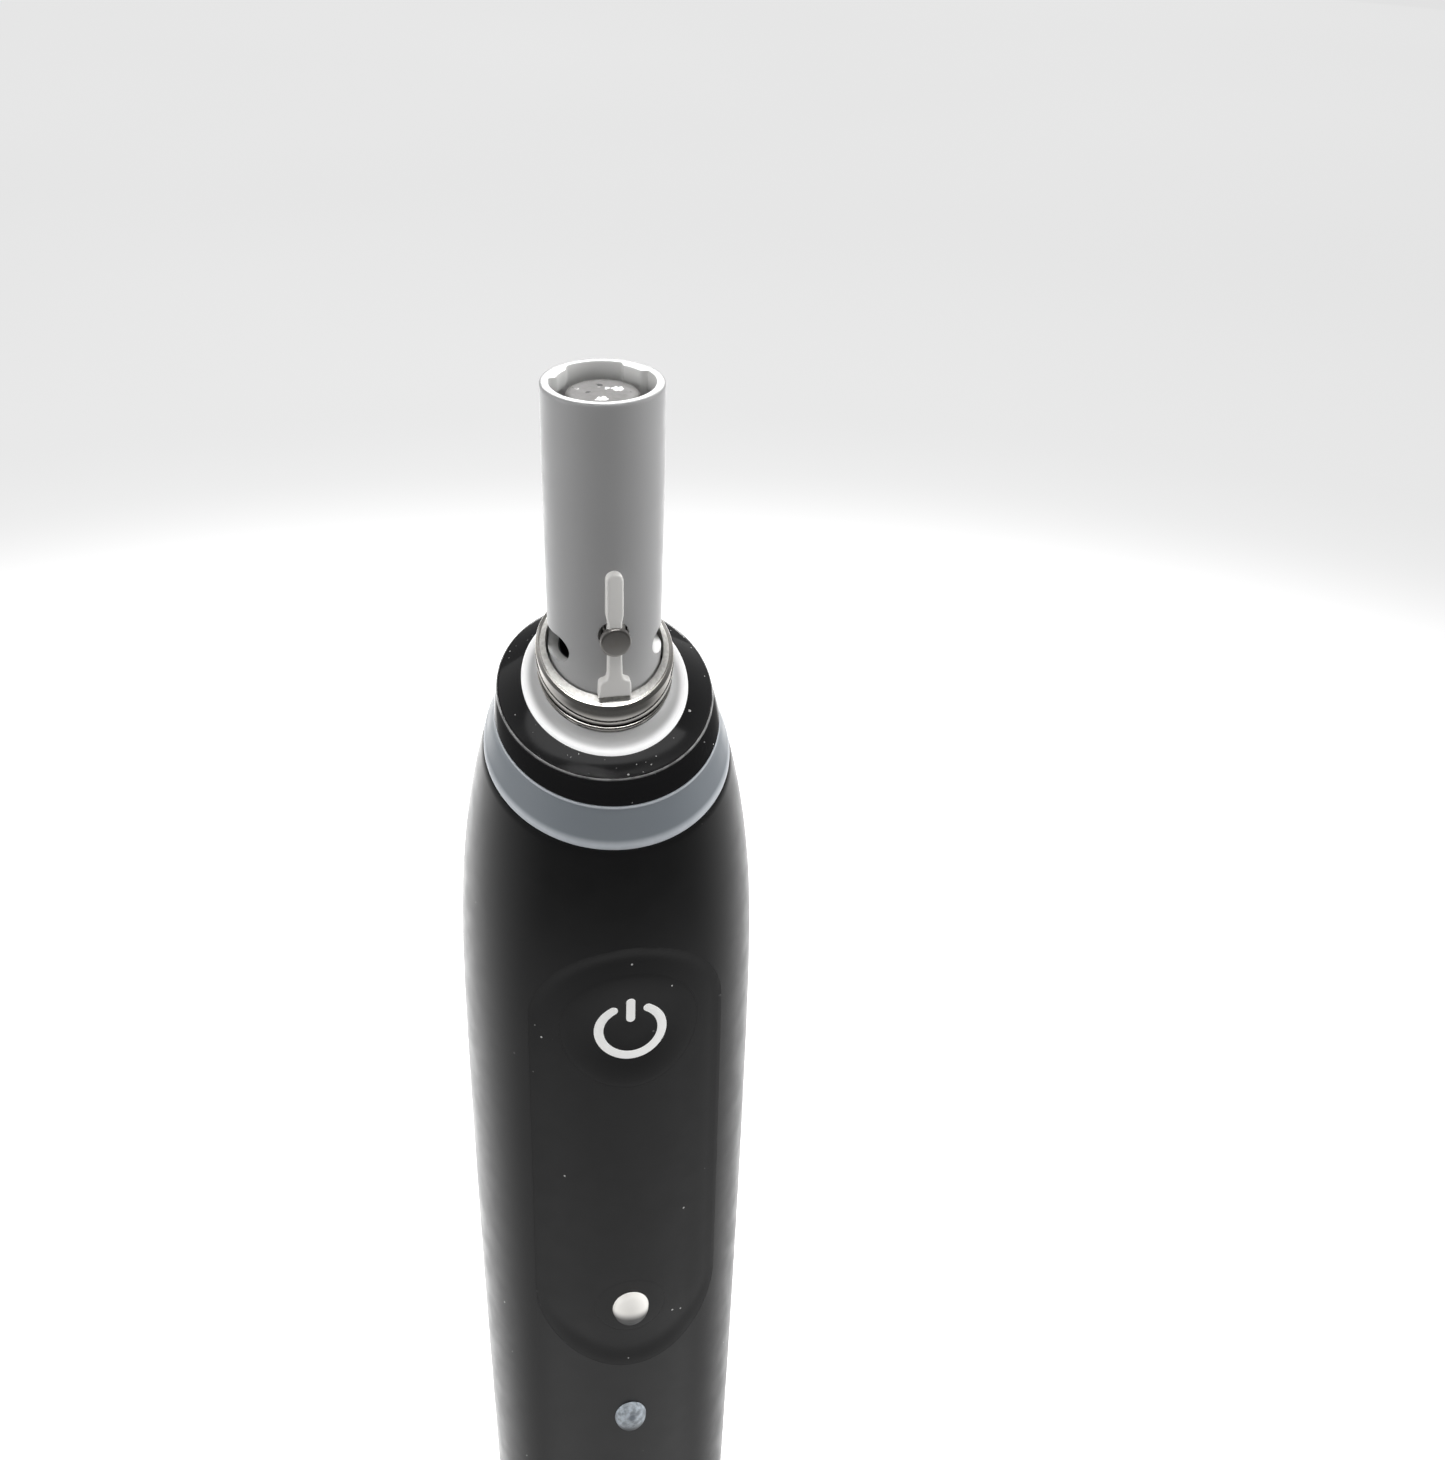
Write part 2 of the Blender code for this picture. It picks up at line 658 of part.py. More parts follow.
def make_chassis(finish):
    top = above_ring(CHASSIS_TOP)
    low = above_ring(CHASSIS_BOTTOM)
    middle = above_ring(-60.0 * MM)
    web = 1.5 * MM
    hole = 2.0 * MM
    outline = [
        (CHASSIS_OUTER, top), (CHASSIS_OUTER, low), (hole, low), (hole, low + web),
        (CHASSIS_INNER, low + web), (CHASSIS_INNER, middle), (hole, middle), (hole, middle + web),
        (CHASSIS_INNER, middle + web), (CHASSIS_INNER, top),
    ]
    chassis = turned("chassis", outline, finish, 32)
    front = BOARD_BACK_Y + 0.6 * MM
    cut(chassis, box("cut_chassis_front", (-20 * MM, -20 * MM, low - 1 * MM), (20 * MM, front, top + 1 * MM),
                     None))
    return chassis


def make_electronics(board, metal, battery, plastic):
    box("circuit_board", (-BOARD_HALF_WIDTH, BOARD_FRONT_Y, above_ring(-100.0 * MM)),
        (BOARD_HALF_WIDTH, BOARD_BACK_Y, above_ring(-14.0 * MM)), board)
    for name, height in (("power_switch", POWER_HEIGHT), ("mode_switch", MODE_HEIGHT)):
        level = above_ring(height)
        face = BOARD_FRONT_Y - GAP
        box(name, (-2 * MM, face - 0.8 * MM, level - 2 * MM), (2 * MM, face, level + 2 * MM), plastic)
    top = above_ring(BATTERY_TOP)
    low = top - BATTERY_LENGTH
    rod("battery_cell", BATTERY_RADIUS, (0, 0, low), (0, 0, top), battery)
    tab = 0.4 * MM
    rod("positive_tab", 3.0 * MM, (0, 0, top + GAP), (0, 0, top + GAP + tab), metal, PIN_STEPS)
    rod("negative_tab", 4.0 * MM, (0, 0, low - GAP - tab), (0, 0, low - GAP), metal, PIN_STEPS)
    strip = tube("ring_light_strip", 9.35 * MM, 8.95 * MM, above_ring(-3.4 * MM), above_ring(-5.4 * MM), board)
    lean(strip, BODY_LEAN)


def make_handle_coil(plastic, copper, rubber):
    low = above_ring(-HANDLE_BELOW_RING) + CAP_THICKNESS + GAP
    high = above_ring(-HANDLE_BELOW_RING) + SOCKET_DEPTH
    inner = SOCKET_RADIUS + SOCKET_WALL + GAP
    flange = 7.2 * MM
    core = inner + 0.4 * MM
    lip = 0.6 * MM
    outline = [
        (flange, high), (flange, high - lip), (core, high - lip), (core, low + lip), (flange, low + lip),
        (flange, low), (inner, low), (inner, high),
    ]
    turned("coil_former", outline, plastic, SMALL_STEPS)
    tube("charging_coil", flange, core + GAP, high - lip - GAP, low + lip + GAP, copper)
    tube("neck_seal", 7.5 * MM, 6.5 * MM, above_ring(-3.4 * MM), above_ring(-5.6 * MM), rubber)


# Charging base

def make_charger_housing(finish):
    seat = SEAT_HEIGHT
    rim = SEAT_HEIGHT + SEAT_RIM_HEIGHT
    post = SEAT_HEIGHT + POST_LENGTH
    low = BASE_PLATE_LOW
    outline = [
        (0, post), (POST_RADIUS - 0.7 * MM, post), (POST_RADIUS, post - 0.7 * MM), (POST_RADIUS, seat),
        (SEAT_RADIUS, seat), (SEAT_RADIUS + 0.3 * MM, rim), (SEAT_RADIUS + 1.9 * MM, rim),
    ]
    shoulder = [(16.0, 15.2), (22.5, 14.1), (26.9, 11.6), (29.3, 7.2)]
    outline += [(radius * MM, height * MM) for radius, height in shoulder]
    inner = BASE_RADIUS - BASE_WALL
    outline += [(BASE_RADIUS, 2.0 * MM), (BASE_RADIUS - 0.4 * MM, low), (inner, low), (inner, 3.6 * MM)]
    under = [(27.3, 7.2), (25.0, 10.6), (20.0, 12.7)]
    outline += [(radius * MM, height * MM) for radius, height in under]
    core = POST_RADIUS - 1.2 * MM
    outline += [(core, 13.2 * MM), (core, post - 1.5 * MM), (0, post - 1.5 * MM)]
    housing = turned("charger_housing", outline, finish, BODY_STEPS, closed=False)
    for number, (x, y) in enumerate(screw_places(), start=1):
        boss = rod(f"join_boss_{number}", 2.4 * MM, (x, y, 3.1 * MM), (x, y, 13.0 * MM), None, PIN_STEPS)
        hole = rod(f"cut_boss_{number}", 1.15 * MM, (x, y, 2.0 * MM), (x, y, 8.0 * MM), None, PIN_STEPS)
        join(housing, boss)
        cut(housing, hole)
    level = GLAND_HEIGHT
    cut(housing, rod("cut_gland", GLAND_RADIUS + GAP, (0, 24 * MM, level), (0, 34 * MM, level), None))
    return housing


def screw_places():
    places = []
    for degrees in BASE_SCREW_ANGLES:
        angle = math.radians(degrees)
        places.append((BASE_SCREW_CIRCLE * math.cos(angle), BASE_SCREW_CIRCLE * math.sin(angle)))
    return places


def make_charger_base(plastic, rubber, steel):
    low = BASE_PLATE_LOW
    high = low + BASE_PLATE_THICKNESS
    radius = BASE_RADIUS - BASE_WALL - GAP
    plate_solid = rod("charger_base", radius, (0, 0, low), (0, 0, high), plastic, BODY_STEPS)
    ledge = low + 1.3 * MM
    for number, (x, y) in enumerate(screw_places(), start=1):
        wide = rod(f"cut_head_{number}", 1.9 * MM, (x, y, low - 1 * MM), (x, y, ledge), None, PIN_STEPS)
        narrow = rod(f"cut_shank_{number}", 1.15 * MM, (x, y, ledge - 1 * MM), (x, y, high + 1 * MM), None,
                     PIN_STEPS)
        cut(plate_solid, wide, narrow)
        head_top = ledge - GAP
        screw = rod(f"base_screw_{number}", 1.55 * MM, (x, y, low + 0.1 * MM), (x, y, head_top), steel, PIN_STEPS)
        join(screw, rod(f"join_shank_{number}", BASE_SCREW_SHANK, (x, y, head_top - 0.3 * MM), (x, y, 7.5 * MM),
                        None, 12))
    tube("non_slip_ring", 26.0 * MM, 22.5 * MM, FOOT_HEIGHT, 0.0, rubber, BODY_STEPS)


def make_charger_inside(ferrite, copper, board, rubber):
    core_radius = 2.7 * MM
    low = 3.3 * MM
    rod("ferrite_core", core_radius, (0, 0, low), (0, 0, SEAT_HEIGHT + POST_LENGTH - 1.9 * MM), ferrite)
    tube("primary_coil", 8.0 * MM, core_radius + GAP, 12.4 * MM, 4.6 * MM, copper)
    box("charger_board", (-12 * MM, 10 * MM, 4.0 * MM), (12 * MM, 20 * MM, 5.2 * MM), board)
    outline = [
        (GLAND_RADIUS, 2.1 * MM), (GLAND_RADIUS, -2.2 * MM), (3.3 * MM, -2.2 * MM), (3.3 * MM, -3.4 * MM),
        (CORD_BORE, -3.4 * MM), (CORD_BORE, 2.1 * MM),
    ]
    gland = turned("cord_gland", outline, rubber, SMALL_STEPS)
    point_back = Matrix.Rotation(-math.pi / 2, 4, "X")
    gland.matrix_world = Matrix.Translation((0, 27.6 * MM, GLAND_HEIGHT)) @ point_back


def main():
    black = look("black_casing", (0.02, 0.02, 0.022), 0.45)
    gloss = look("black_gloss", (0.012, 0.012, 0.014), 0.12)
    soft = look("soft_black", (0.03, 0.03, 0.032), 0.6)
    white = look("white_plastic", (0.8, 0.8, 0.78), 0.4)
    grey = look("light_grey_plastic", (0.62, 0.63, 0.65), 0.45)
    smoke = look("smoky_diffuser", (0.2, 0.23, 0.26), 0.35)
    lens = look("pale_lens", (0.75, 0.75, 0.72), 0.4)
    steel = look("brushed_steel", (0.6, 0.59, 0.57), 0.3, 1.0)
    copper = look("copper_winding", (0.6, 0.28, 0.13), 0.4, 1.0)
    ferrite = look("ferrite_grey", (0.06, 0.06, 0.07), 0.7)
    board = look("green_board", (0.03, 0.16, 0.07), 0.5)
    rubber = look("dark_rubber", (0.05, 0.05, 0.05), 0.8)
    jacket = look("battery_jacket", (0.1, 0.25, 0.5), 0.5)
    make_body_shell(black)
    make_light_ring(smoke)
    make_neck_cap(gloss)
    make_neck_collar(white)
    make_steel_ring(steel)
    make_bottom_cap(black)
    make_bottom_seal(rubber)
    make_control_panel(soft)
    make_power_button(soft)
    make_power_light_guide(lens)
    make_mode_button(soft)
    make_lenses(lens)
    make_drive_sleeve(grey)
    make_sleeve_key(white)
    make_key_pin(steel)
    make_motor(steel, copper, grey, steel)
    make_mover(steel, grey, ferrite, rubber)
    make_chassis(grey)
    make_electronics(board, steel, jacket, rubber)
    make_handle_coil(grey, copper, rubber)
    make_charger_housing(white)
    make_charger_base(white, rubber, steel)
    make_charger_inside(ferrite, copper, board, rubber)


start_empty()
PARTS = new_collection("electric_toothbrush_on_charger")
CUTTERS = new_collection("cutters")
main()
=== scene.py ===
"""The looks of an electric toothbrush handle on its charging base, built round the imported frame.

Metres, in the frame's own axes: +Z up, the handle's front towards -Y. Heights named "neck" heights
are measured from the ring plane, where the light ring's underside crosses the handle's axis. The
neck's planes lean, lower at the front.
"""

import json
import math

import bmesh
import bpy
from mathutils import Matrix, Vector


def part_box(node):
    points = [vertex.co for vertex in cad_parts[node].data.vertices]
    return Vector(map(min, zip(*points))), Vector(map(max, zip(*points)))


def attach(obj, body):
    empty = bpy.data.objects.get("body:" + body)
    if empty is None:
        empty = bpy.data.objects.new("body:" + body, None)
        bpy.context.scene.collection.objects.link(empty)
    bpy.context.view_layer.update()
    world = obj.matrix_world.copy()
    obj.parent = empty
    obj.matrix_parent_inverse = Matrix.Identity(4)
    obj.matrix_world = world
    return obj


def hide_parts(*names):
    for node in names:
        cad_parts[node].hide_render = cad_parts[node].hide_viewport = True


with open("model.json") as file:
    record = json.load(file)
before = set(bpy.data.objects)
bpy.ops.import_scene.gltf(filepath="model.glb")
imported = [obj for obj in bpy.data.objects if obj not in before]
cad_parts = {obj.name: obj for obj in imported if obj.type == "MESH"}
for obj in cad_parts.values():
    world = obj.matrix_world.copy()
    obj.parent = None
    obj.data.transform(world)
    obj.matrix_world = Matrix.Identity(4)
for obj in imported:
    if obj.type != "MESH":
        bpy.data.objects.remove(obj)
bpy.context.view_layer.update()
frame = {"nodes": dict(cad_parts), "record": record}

MM = 0.001
SEAM = 0.02 * MM
HAIRLINE = 0.004 * MM

# Places read from the frame
SLEEVE_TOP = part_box("drive_sleeve")[1].z
RING_Z = SLEEVE_TOP - 34.7 * MM
POWER_Z = sum(corner.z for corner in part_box("power_button")) / 2 - 0.3 * MM
MODE_Z = sum(corner.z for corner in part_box("mode_button")) / 2
INDICATOR_Z = sum(corner.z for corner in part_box("indicator_lens")) / 2
PIN_Z = sum(corner.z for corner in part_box("key_pin")) / 2
TIP_LOW, TIP_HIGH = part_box("drive_tip")
SHELL_LOW, SHELL_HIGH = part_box("body_shell")
PANEL_LOW, PANEL_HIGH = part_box("control_panel")
HOUSING_LOW, HOUSING_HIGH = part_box("charger_housing")
KEY_LOW, KEY_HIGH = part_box("sleeve_key")

# The handle's form, as the design has it
BELLY_RADIUS = 14.0 * MM
BELLY_HEIGHT = -28.0 * MM
NECK_RISE = 33.0 * MM
NECK_DROP = 4.29 * MM
NECK_POWER = 2.7
TAIL_RISE = 92.0 * MM
TAIL_DROP = 1.85 * MM
TAIL_POWER = 1.5
BODY_LEAN = math.tan(math.radians(20.3))
NECK_LEAN = math.tan(math.radians(25.0))
BACK_FILL_START = -20.0 * MM
BACK_FILL_FULL = 4.0 * MM
BACK_REACH = 10.0 * MM

LIGHT_RING_HEIGHT = 3.7 * MM
CREASE_RADIUS = 9.84 * MM
CREASE_HEIGHT = 4.97 * MM
COLLAR_RADIUS = 7.56 * MM
COLLAR_HEIGHT = 5.99 * MM
STEEL_RADIUS = 6.26 * MM
STEEL_TOP = 9.40 * MM
STEEL_BOTTOM = 6.84 * MM
SLEEVE_RADIUS = 5.34 * MM
SLEEVE_BORE = 4.5 * MM
SLEEVE_LAND = 3.9 * MM

PANEL_WIDTH = PANEL_HIGH.x - PANEL_LOW.x + 0.6 * MM
PANEL_EDGE = 0.3 * MM
DISH_RADIUS = 6.5 * MM
DISH_DEPTH = 0.36 * MM
POWER_RADIUS = 6.54 * MM
MODE_RADIUS = 3.6 * MM
ICON_RADIUS = 2.99 * MM
ICON_STROKE = 0.88 * MM
DOT_RADIUS = 1.85 * MM
DOT_TALL = 2.25 * MM
DOT_RISE = 1.15 * MM
INDICATOR_RADIUS = 1.65 * MM
INDICATOR_TALL = 2.1 * MM
INDICATOR_RISE = 1.0 * MM
CUT_START = -20.0 * MM  # well in front of the handle, where its cutters start

# Brightness of the stage
FAR_GLOW = 0.735
OUTER_GLOW = 0.76
CARD_FRONT_GLOW = 0.75
CARD_SIDE_GLOW = 0.46
WALL_SIDE_GLOW = 0.15


# ---------------------------------------------------------------- mesh tools

def link_object(name, mesh):
    obj = bpy.data.objects.new(name, mesh)
    bpy.context.scene.collection.objects.link(obj)
    return obj


def smooth(mesh, angle=35):
    mesh.shade_smooth()
    mesh.set_sharp_from_angle(angle=math.radians(angle))


def grid(name, rows, columns, place, close_rows=True, close_columns=True):
    """A mesh of rows by columns, each point from place(row, column)."""
    points = [place(i, j) for i in range(rows) for j in range(columns)]
    faces = []
    for i in range(rows if close_rows else rows - 1):
        for j in range(columns if close_columns else columns - 1):
            low = (i + 1) % rows
            right = (j + 1) % columns
            faces.append((i * columns + j, i * columns + right, low * columns + right, low * columns + j))
    mesh = bpy.data.meshes.new(name)
    mesh.from_pydata(points, [], faces)
    return mesh


def finished_mesh(shape, name):
    """A new mesh from a bmesh, which is then freed."""
    mesh = bpy.data.meshes.new(name)
    shape.to_mesh(mesh)
    shape.free()
    return mesh


def close_ends(mesh, rows, columns):
    """Fills the first and last rows of a grid mesh with a face each."""
    shape = bmesh.new()
    shape.from_mesh(mesh)
    shape.verts.ensure_lookup_table()
    for start in (0, (rows - 1) * columns):
        shape.faces.new([shape.verts[start + j] for j in range(columns)])
    shape.to_mesh(mesh)
    shape.free()


def curve_point(start, corner, end, t):
    """A point on the curve from start to end that bends towards the corner."""
    return start * (1 - t) ** 2 + corner * 2 * t * (1 - t) + end * t ** 2


def face_outwards(mesh, weld=0.001 * MM):
    shape = bmesh.new()
    shape.from_mesh(mesh)
    bmesh.ops.remove_doubles(shape, verts=shape.verts, dist=weld)
    bmesh.ops.recalc_face_normals(shape, faces=shape.faces)
    shape.to_mesh(mesh)
    shape.free()
    return mesh


def rounded(corners, steps=4):
    """A closed outline from (radius, height, fillet) corners, with each corner turned into a curve."""
    points = []
    count = len(corners)
    for i, (x, y, fillet) in enumerate(corners):
        corner = Vector((x, y))
        if fillet == 0:
            points.append(corner)
            continue
        before = Vector(corners[i - 1][:2]) - corner
        after = Vector(corners[(i + 1) % count][:2]) - corner
        start = corner + before.normalized() * min(fillet, before.length * 0.49)
        end = corner + after.normalized() * min(fillet, after.length * 0.49)
        points += [curve_point(start, corner, end, k / steps) for k in range(steps + 1)]
    return points


def ring_point(radius, height, turn, slope=0.0):
    """A point on a leaning ring: turn 0 is the front, and grows towards +X."""
    x = radius * math.sin(turn)
    y = -radius * math.cos(turn)
    return Vector((x, y, height + y * slope))


def lathe(name, outline, columns=120, slope=0.0):
    """A closed outline of (radius, height) turned about the handle's axis, leaning by slope."""
    def place(i, j):
        radius, height = outline[i]
        return ring_point(radius, height, 2 * math.pi * j / columns, slope)
    mesh = grid(name, len(outline), columns, place)
    return face_outwards(mesh)


def from_outline(name, outline, low, high, bevel=0.0, segments=3):
    """An outline in X and Z given depth along Y, from low to high, with bevelled front edges."""
    shape = bmesh.new()
    verts = [shape.verts.new((x, low, z)) for x, z in outline]
    front = shape.faces.new(verts)
    result = bmesh.ops.extrude_face_region(shape, geom=[front])
    moved = [item for item in result["geom"] if isinstance(item, bmesh.types.BMVert)]
    bmesh.ops.translate(shape, verts=moved, vec=(0, high - low, 0))
    bmesh.ops.recalc_face_normals(shape, faces=shape.faces)
    if bevel:
        edges = [e for e in shape.edges if all(abs(v.co.y - low) < 0.01 * MM for v in e.verts)]
        bmesh.ops.bevel(shape, geom=edges, offset=bevel, segments=segments, profile=0.5, affect="EDGES")
    return finished_mesh(shape, name)


def arc(centre, radius, start, end, steps):
    points = []
    for i in range(steps + 1):
        angle = math.radians(start + (end - start) * i / steps)
        points.append((centre[0] + radius * math.cos(angle), centre[1] + radius * math.sin(angle)))
    return points


def bar(radius, start, end, columns=48):
    """A plain round bar, to cut with."""
    start = Vector(start)
    end = Vector(end)
    turn = (end - start).to_track_quat("Z", "Y").to_matrix().to_4x4()
    shape = bmesh.new()
    bmesh.ops.create_cone(shape, cap_ends=True, segments=columns, radius1=radius, radius2=radius,
                          depth=(end - start).length, matrix=Matrix.Translation((start + end) / 2) @ turn)
    return finished_mesh(shape, "bar")


def carve(mesh, cutters, operation="DIFFERENCE"):
    """The mesh with each cutter mesh taken away from it, or kept only inside it."""
    obj = link_object("carving", mesh)
    helpers = []
    for cutter in cutters:
        helper = link_object("cutter", cutter)
        helpers.append(helper)
        modifier = obj.modifiers.new("carve", "BOOLEAN")
        modifier.operation = operation
        modifier.solver = "EXACT"
        modifier.object = helper
    bpy.context.view_layer.update()
    depsgraph = bpy.context.evaluated_depsgraph_get()
    result = bpy.data.meshes.new_from_object(obj.evaluated_get(depsgraph))
    for helper in [obj] + helpers:
        bpy.data.objects.remove(helper, do_unlink=True)
    return result


def piece(name, mesh, body, finish, replaced=(), angle=35):
    """Adds a finished piece: it rides on a body, and stands for the CAD nodes that it replaces."""
    smooth(mesh, angle)
    mesh.materials.clear()
    mesh.materials.append(finish)
    obj = link_object(name, mesh)
    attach(obj, body)
    if replaced:
        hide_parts(*replaced)
    return obj


# ---------------------------------------------------------------- the body's surface

def smoothstep(value):
    value = min(1.0, max(0.0, value))
    return value * value * (3 - 2 * value)


def blend_value(low, high, share):
    return low + (high - low) * share


def body_radius(neck_height):
    if neck_height > BELLY_HEIGHT:
        share = (neck_height - BELLY_HEIGHT) / NECK_RISE
        return BELLY_RADIUS - NECK_DROP * share ** NECK_POWER
    share = (BELLY_HEIGHT - neck_height) / TAIL_RISE
    return BELLY_RADIUS - TAIL_DROP * share ** TAIL_POWER


def skin_radius(turn, neck_height):
    """The body's radius with its back carried up along the leaning neck."""
    source = neck_height
    for _ in range(12):
        radius = body_radius(source)
        back = max(0.0, -radius * math.cos(turn))
        fill = smoothstep((source - BACK_FILL_START) / (BACK_FILL_FULL - BACK_FILL_START))
        source = neck_height - BODY_LEAN * fill * back * back / BACK_REACH
    return body_radius(source)


def skin_ring(turn, level, inset=0.0):
    """A point on the body's surface at a leaning level above the ring plane."""
    radius = skin_radius(turn, level)
    for _ in range(6):
        height = level - radius * math.cos(turn) * BODY_LEAN
        radius = skin_radius(turn, height)
    height = level - radius * math.cos(turn) * BODY_LEAN
    return ring_point(radius - inset, RING_Z + height, turn)


def front_y(x, z):
    return -math.sqrt(body_radius(z - RING_Z) ** 2 - x * x)


def panel_outline(grow=0.0, steps=40):
    """The panel's outline in X and Z: straight sides with half-round ends."""
    radius = PANEL_WIDTH / 2
    high = PANEL_HIGH.z + PANEL_EDGE - radius
    low = PANEL_LOW.z - PANEL_EDGE + radius
    return arc((0, high), radius + grow, 0, 180, steps) + arc((0, low), radius + grow, 180, 360, steps)


def panel_edge_distance(x, z):
    """How far inside the panel's outline a point lies."""
    radius = PANEL_WIDTH / 2
    high = PANEL_HIGH.z + PANEL_EDGE - radius
    low = PANEL_LOW.z - PANEL_EDGE + radius
    beyond = max(z - high, low - z, 0.0)
    return radius - math.hypot(x, beyond)


def panel_depth(x, z):
    """How deep the panel's face lies under the body's surface: sloping rim, flat floor, thumb dish."""
    lower = smoothstep((MODE_Z - z) / (6 * MM))
    width = (1.0 + 1.6 * lower) * MM
    rim = smoothstep(panel_edge_distance(x, z) / width)
    depth = 0.01 * MM + (0.13 + 0.12 * lower) * MM * rim
    reach = math.hypot(x, z - POWER_Z) / DISH_RADIUS
    dish = DISH_DEPTH * smoothstep((1.0 - reach) / 0.85)
    return depth + dish


def panel_face(x, z, raised=0.0):
    return Vector((x, front_y(x, z) + panel_depth(x, z) - raised, z))


# ---------------------------------------------------------------- materials

class Finish:
    """A material under construction, with short calls for the nodes that the finishes share."""

    def __init__(self, name, **sockets):
        self.material = bpy.data.materials.new(name)
        self.material.use_nodes = True
        self.tree = self.material.node_tree
        self.shader = self.tree.nodes["Principled BSDF"]
        for socket, value in sockets.items():
            self.shader.inputs[socket.replace("_", " ")].default_value = value
        self.place = self.tree.nodes.new("ShaderNodeTexCoord").outputs["Object"]

    def node(self, kind, **settings):
        made = self.tree.nodes.new(kind)
        for name, value in settings.items():
            setattr(made, name, value)
        return made

    def link(self, source, target):
        self.tree.links.new(source, target)

    def axes(self):
        """The X, Y and Z coordinates, as separate values."""
        parts = self.node("ShaderNodeSeparateXYZ")
        self.link(self.place, parts.inputs["Vector"])
        return parts.outputs["X"], parts.outputs["Y"], parts.outputs["Z"]

    def length(self, vector):
        made = self.node("ShaderNodeVectorMath", operation="LENGTH")
        self.link(vector, made.inputs[0])
        return made.outputs["Value"]

    def stretch(self, scale):
        """Coordinates stretched by a scale for each axis."""
        mapping = self.node("ShaderNodeMapping")
        mapping.inputs["Scale"].default_value = scale
        self.link(self.place, mapping.inputs["Vector"])
        return mapping.outputs["Vector"]

    def noise(self, size, detail=3.0, place=None):
        """Noise whose features are about size metres across."""
        made = self.node("ShaderNodeTexNoise")
        made.inputs["Scale"].default_value = 1.0 / size
        made.inputs["Detail"].default_value = detail
        self.link(place or self.place, made.inputs["Vector"])
        return made.outputs["Fac"]

    def spots(self, size, share, soft=0.02):
        """A mask of scattered round spots: size between their middles, share of it that is spot."""
        cells = self.node("ShaderNodeTexVoronoi")
        cells.inputs["Scale"].default_value = 1.0 / size
        self.link(self.place, cells.inputs["Vector"])
        return self.ramp(cells.outputs["Distance"], share, share + soft, 1.0, 0.0)

    def ramp(self, source, low, high, start=0.0, end=1.0):
        made = self.node("ShaderNodeMapRange", interpolation_type="SMOOTHSTEP")
        for socket, value in zip(("From Min", "From Max", "To Min", "To Max"), (low, high, start, end)):
            made.inputs[socket].default_value = value
        self.link(source, made.inputs["Value"])
        return made.outputs["Result"]

    def math(self, operation, first, second=0.5):
        made = self.node("ShaderNodeMath", operation=operation)
        for socket, value in zip(made.inputs, (first, second)):
            if isinstance(value, (int, float)):
                socket.default_value = value
            else:
                self.link(value, socket)
        return made.outputs["Value"]

    def mix(self, share, first, second):
        made = self.node("ShaderNodeMix", data_type="RGBA")
        for socket, value in zip(("A_Color", "B_Color"), (first, second)):
            target = next(item for item in made.inputs if item.identifier == socket)
            if isinstance(value, tuple):
                target.default_value = (*value, 1.0)
            else:
                self.link(value, target)
        factor = next(item for item in made.inputs if item.identifier == "Factor_Float")
        self.link(share, factor)
        return next(item for item in made.outputs if item.identifier == "Result_Color")

    def bump(self, height, depth):
        made = self.node("ShaderNodeBump")
        made.inputs["Strength"].default_value = 1.0
        made.inputs["Distance"].default_value = depth
        self.link(height, made.inputs["Height"])
        return made.outputs["Normal"]

    def use(self, socket, source):
        self.link(source, self.shader.inputs[socket])

    def glow(self, strength, colour=(1, 1, 1, 1)):
        """Light of its own: a uniform strength, or one that a node works out."""
        self.shader.inputs["Emission Color"].default_value = colour
        if isinstance(strength, (int, float)):
            self.shader.inputs["Emission Strength"].default_value = strength
        else:
            self.use("Emission Strength", strength)

    def cloudy(self, cloud, colour, spread=0.03):
        """A colour that drifts a little lighter and darker."""
        return self.mix(cloud, shade(colour, 1 - spread), shade(colour, 1 + spread))

    def uneven(self, rough, spread=0.1):
        """Roughness that varies in patches a few millimetres across."""
        patches = self.noise(2.5 * MM, 4.0)
        return self.ramp(patches, 0.3, 0.7, rough * (1 - spread), rough * (1 + spread))

    def fine_grain(self):
        self.use("Normal", self.bump(self.noise(0.12 * MM, 2.0), 0.004 * MM))


def shade(colour, factor):
    return tuple(min(1.0, part * factor) for part in colour)


def moulded(name, colour, rough, grain=0.12 * MM, depth=0.004 * MM, spread=0.08, dust=None, **sockets):
    """Moulded plastic: slight cloudy colour, uneven gloss, a fine grain, and dust if asked for."""
    look = Finish(name, **sockets)
    base = look.cloudy(look.noise(9 * MM, 2.0), colour, spread)
    if dust:
        size, share, tint = dust
        specks = look.spots(size, share)
        clumps = look.ramp(look.noise(6 * MM, 1.0), 0.45, 0.6)
        mask = look.math("MULTIPLY", specks, clumps)
        base = look.mix(mask, base, tint)
    look.use("Base Color", base)
    look.use("Roughness", look.uneven(rough))
    look.use("Normal", look.bump(look.noise(grain, 2.0), depth))
    return look.material


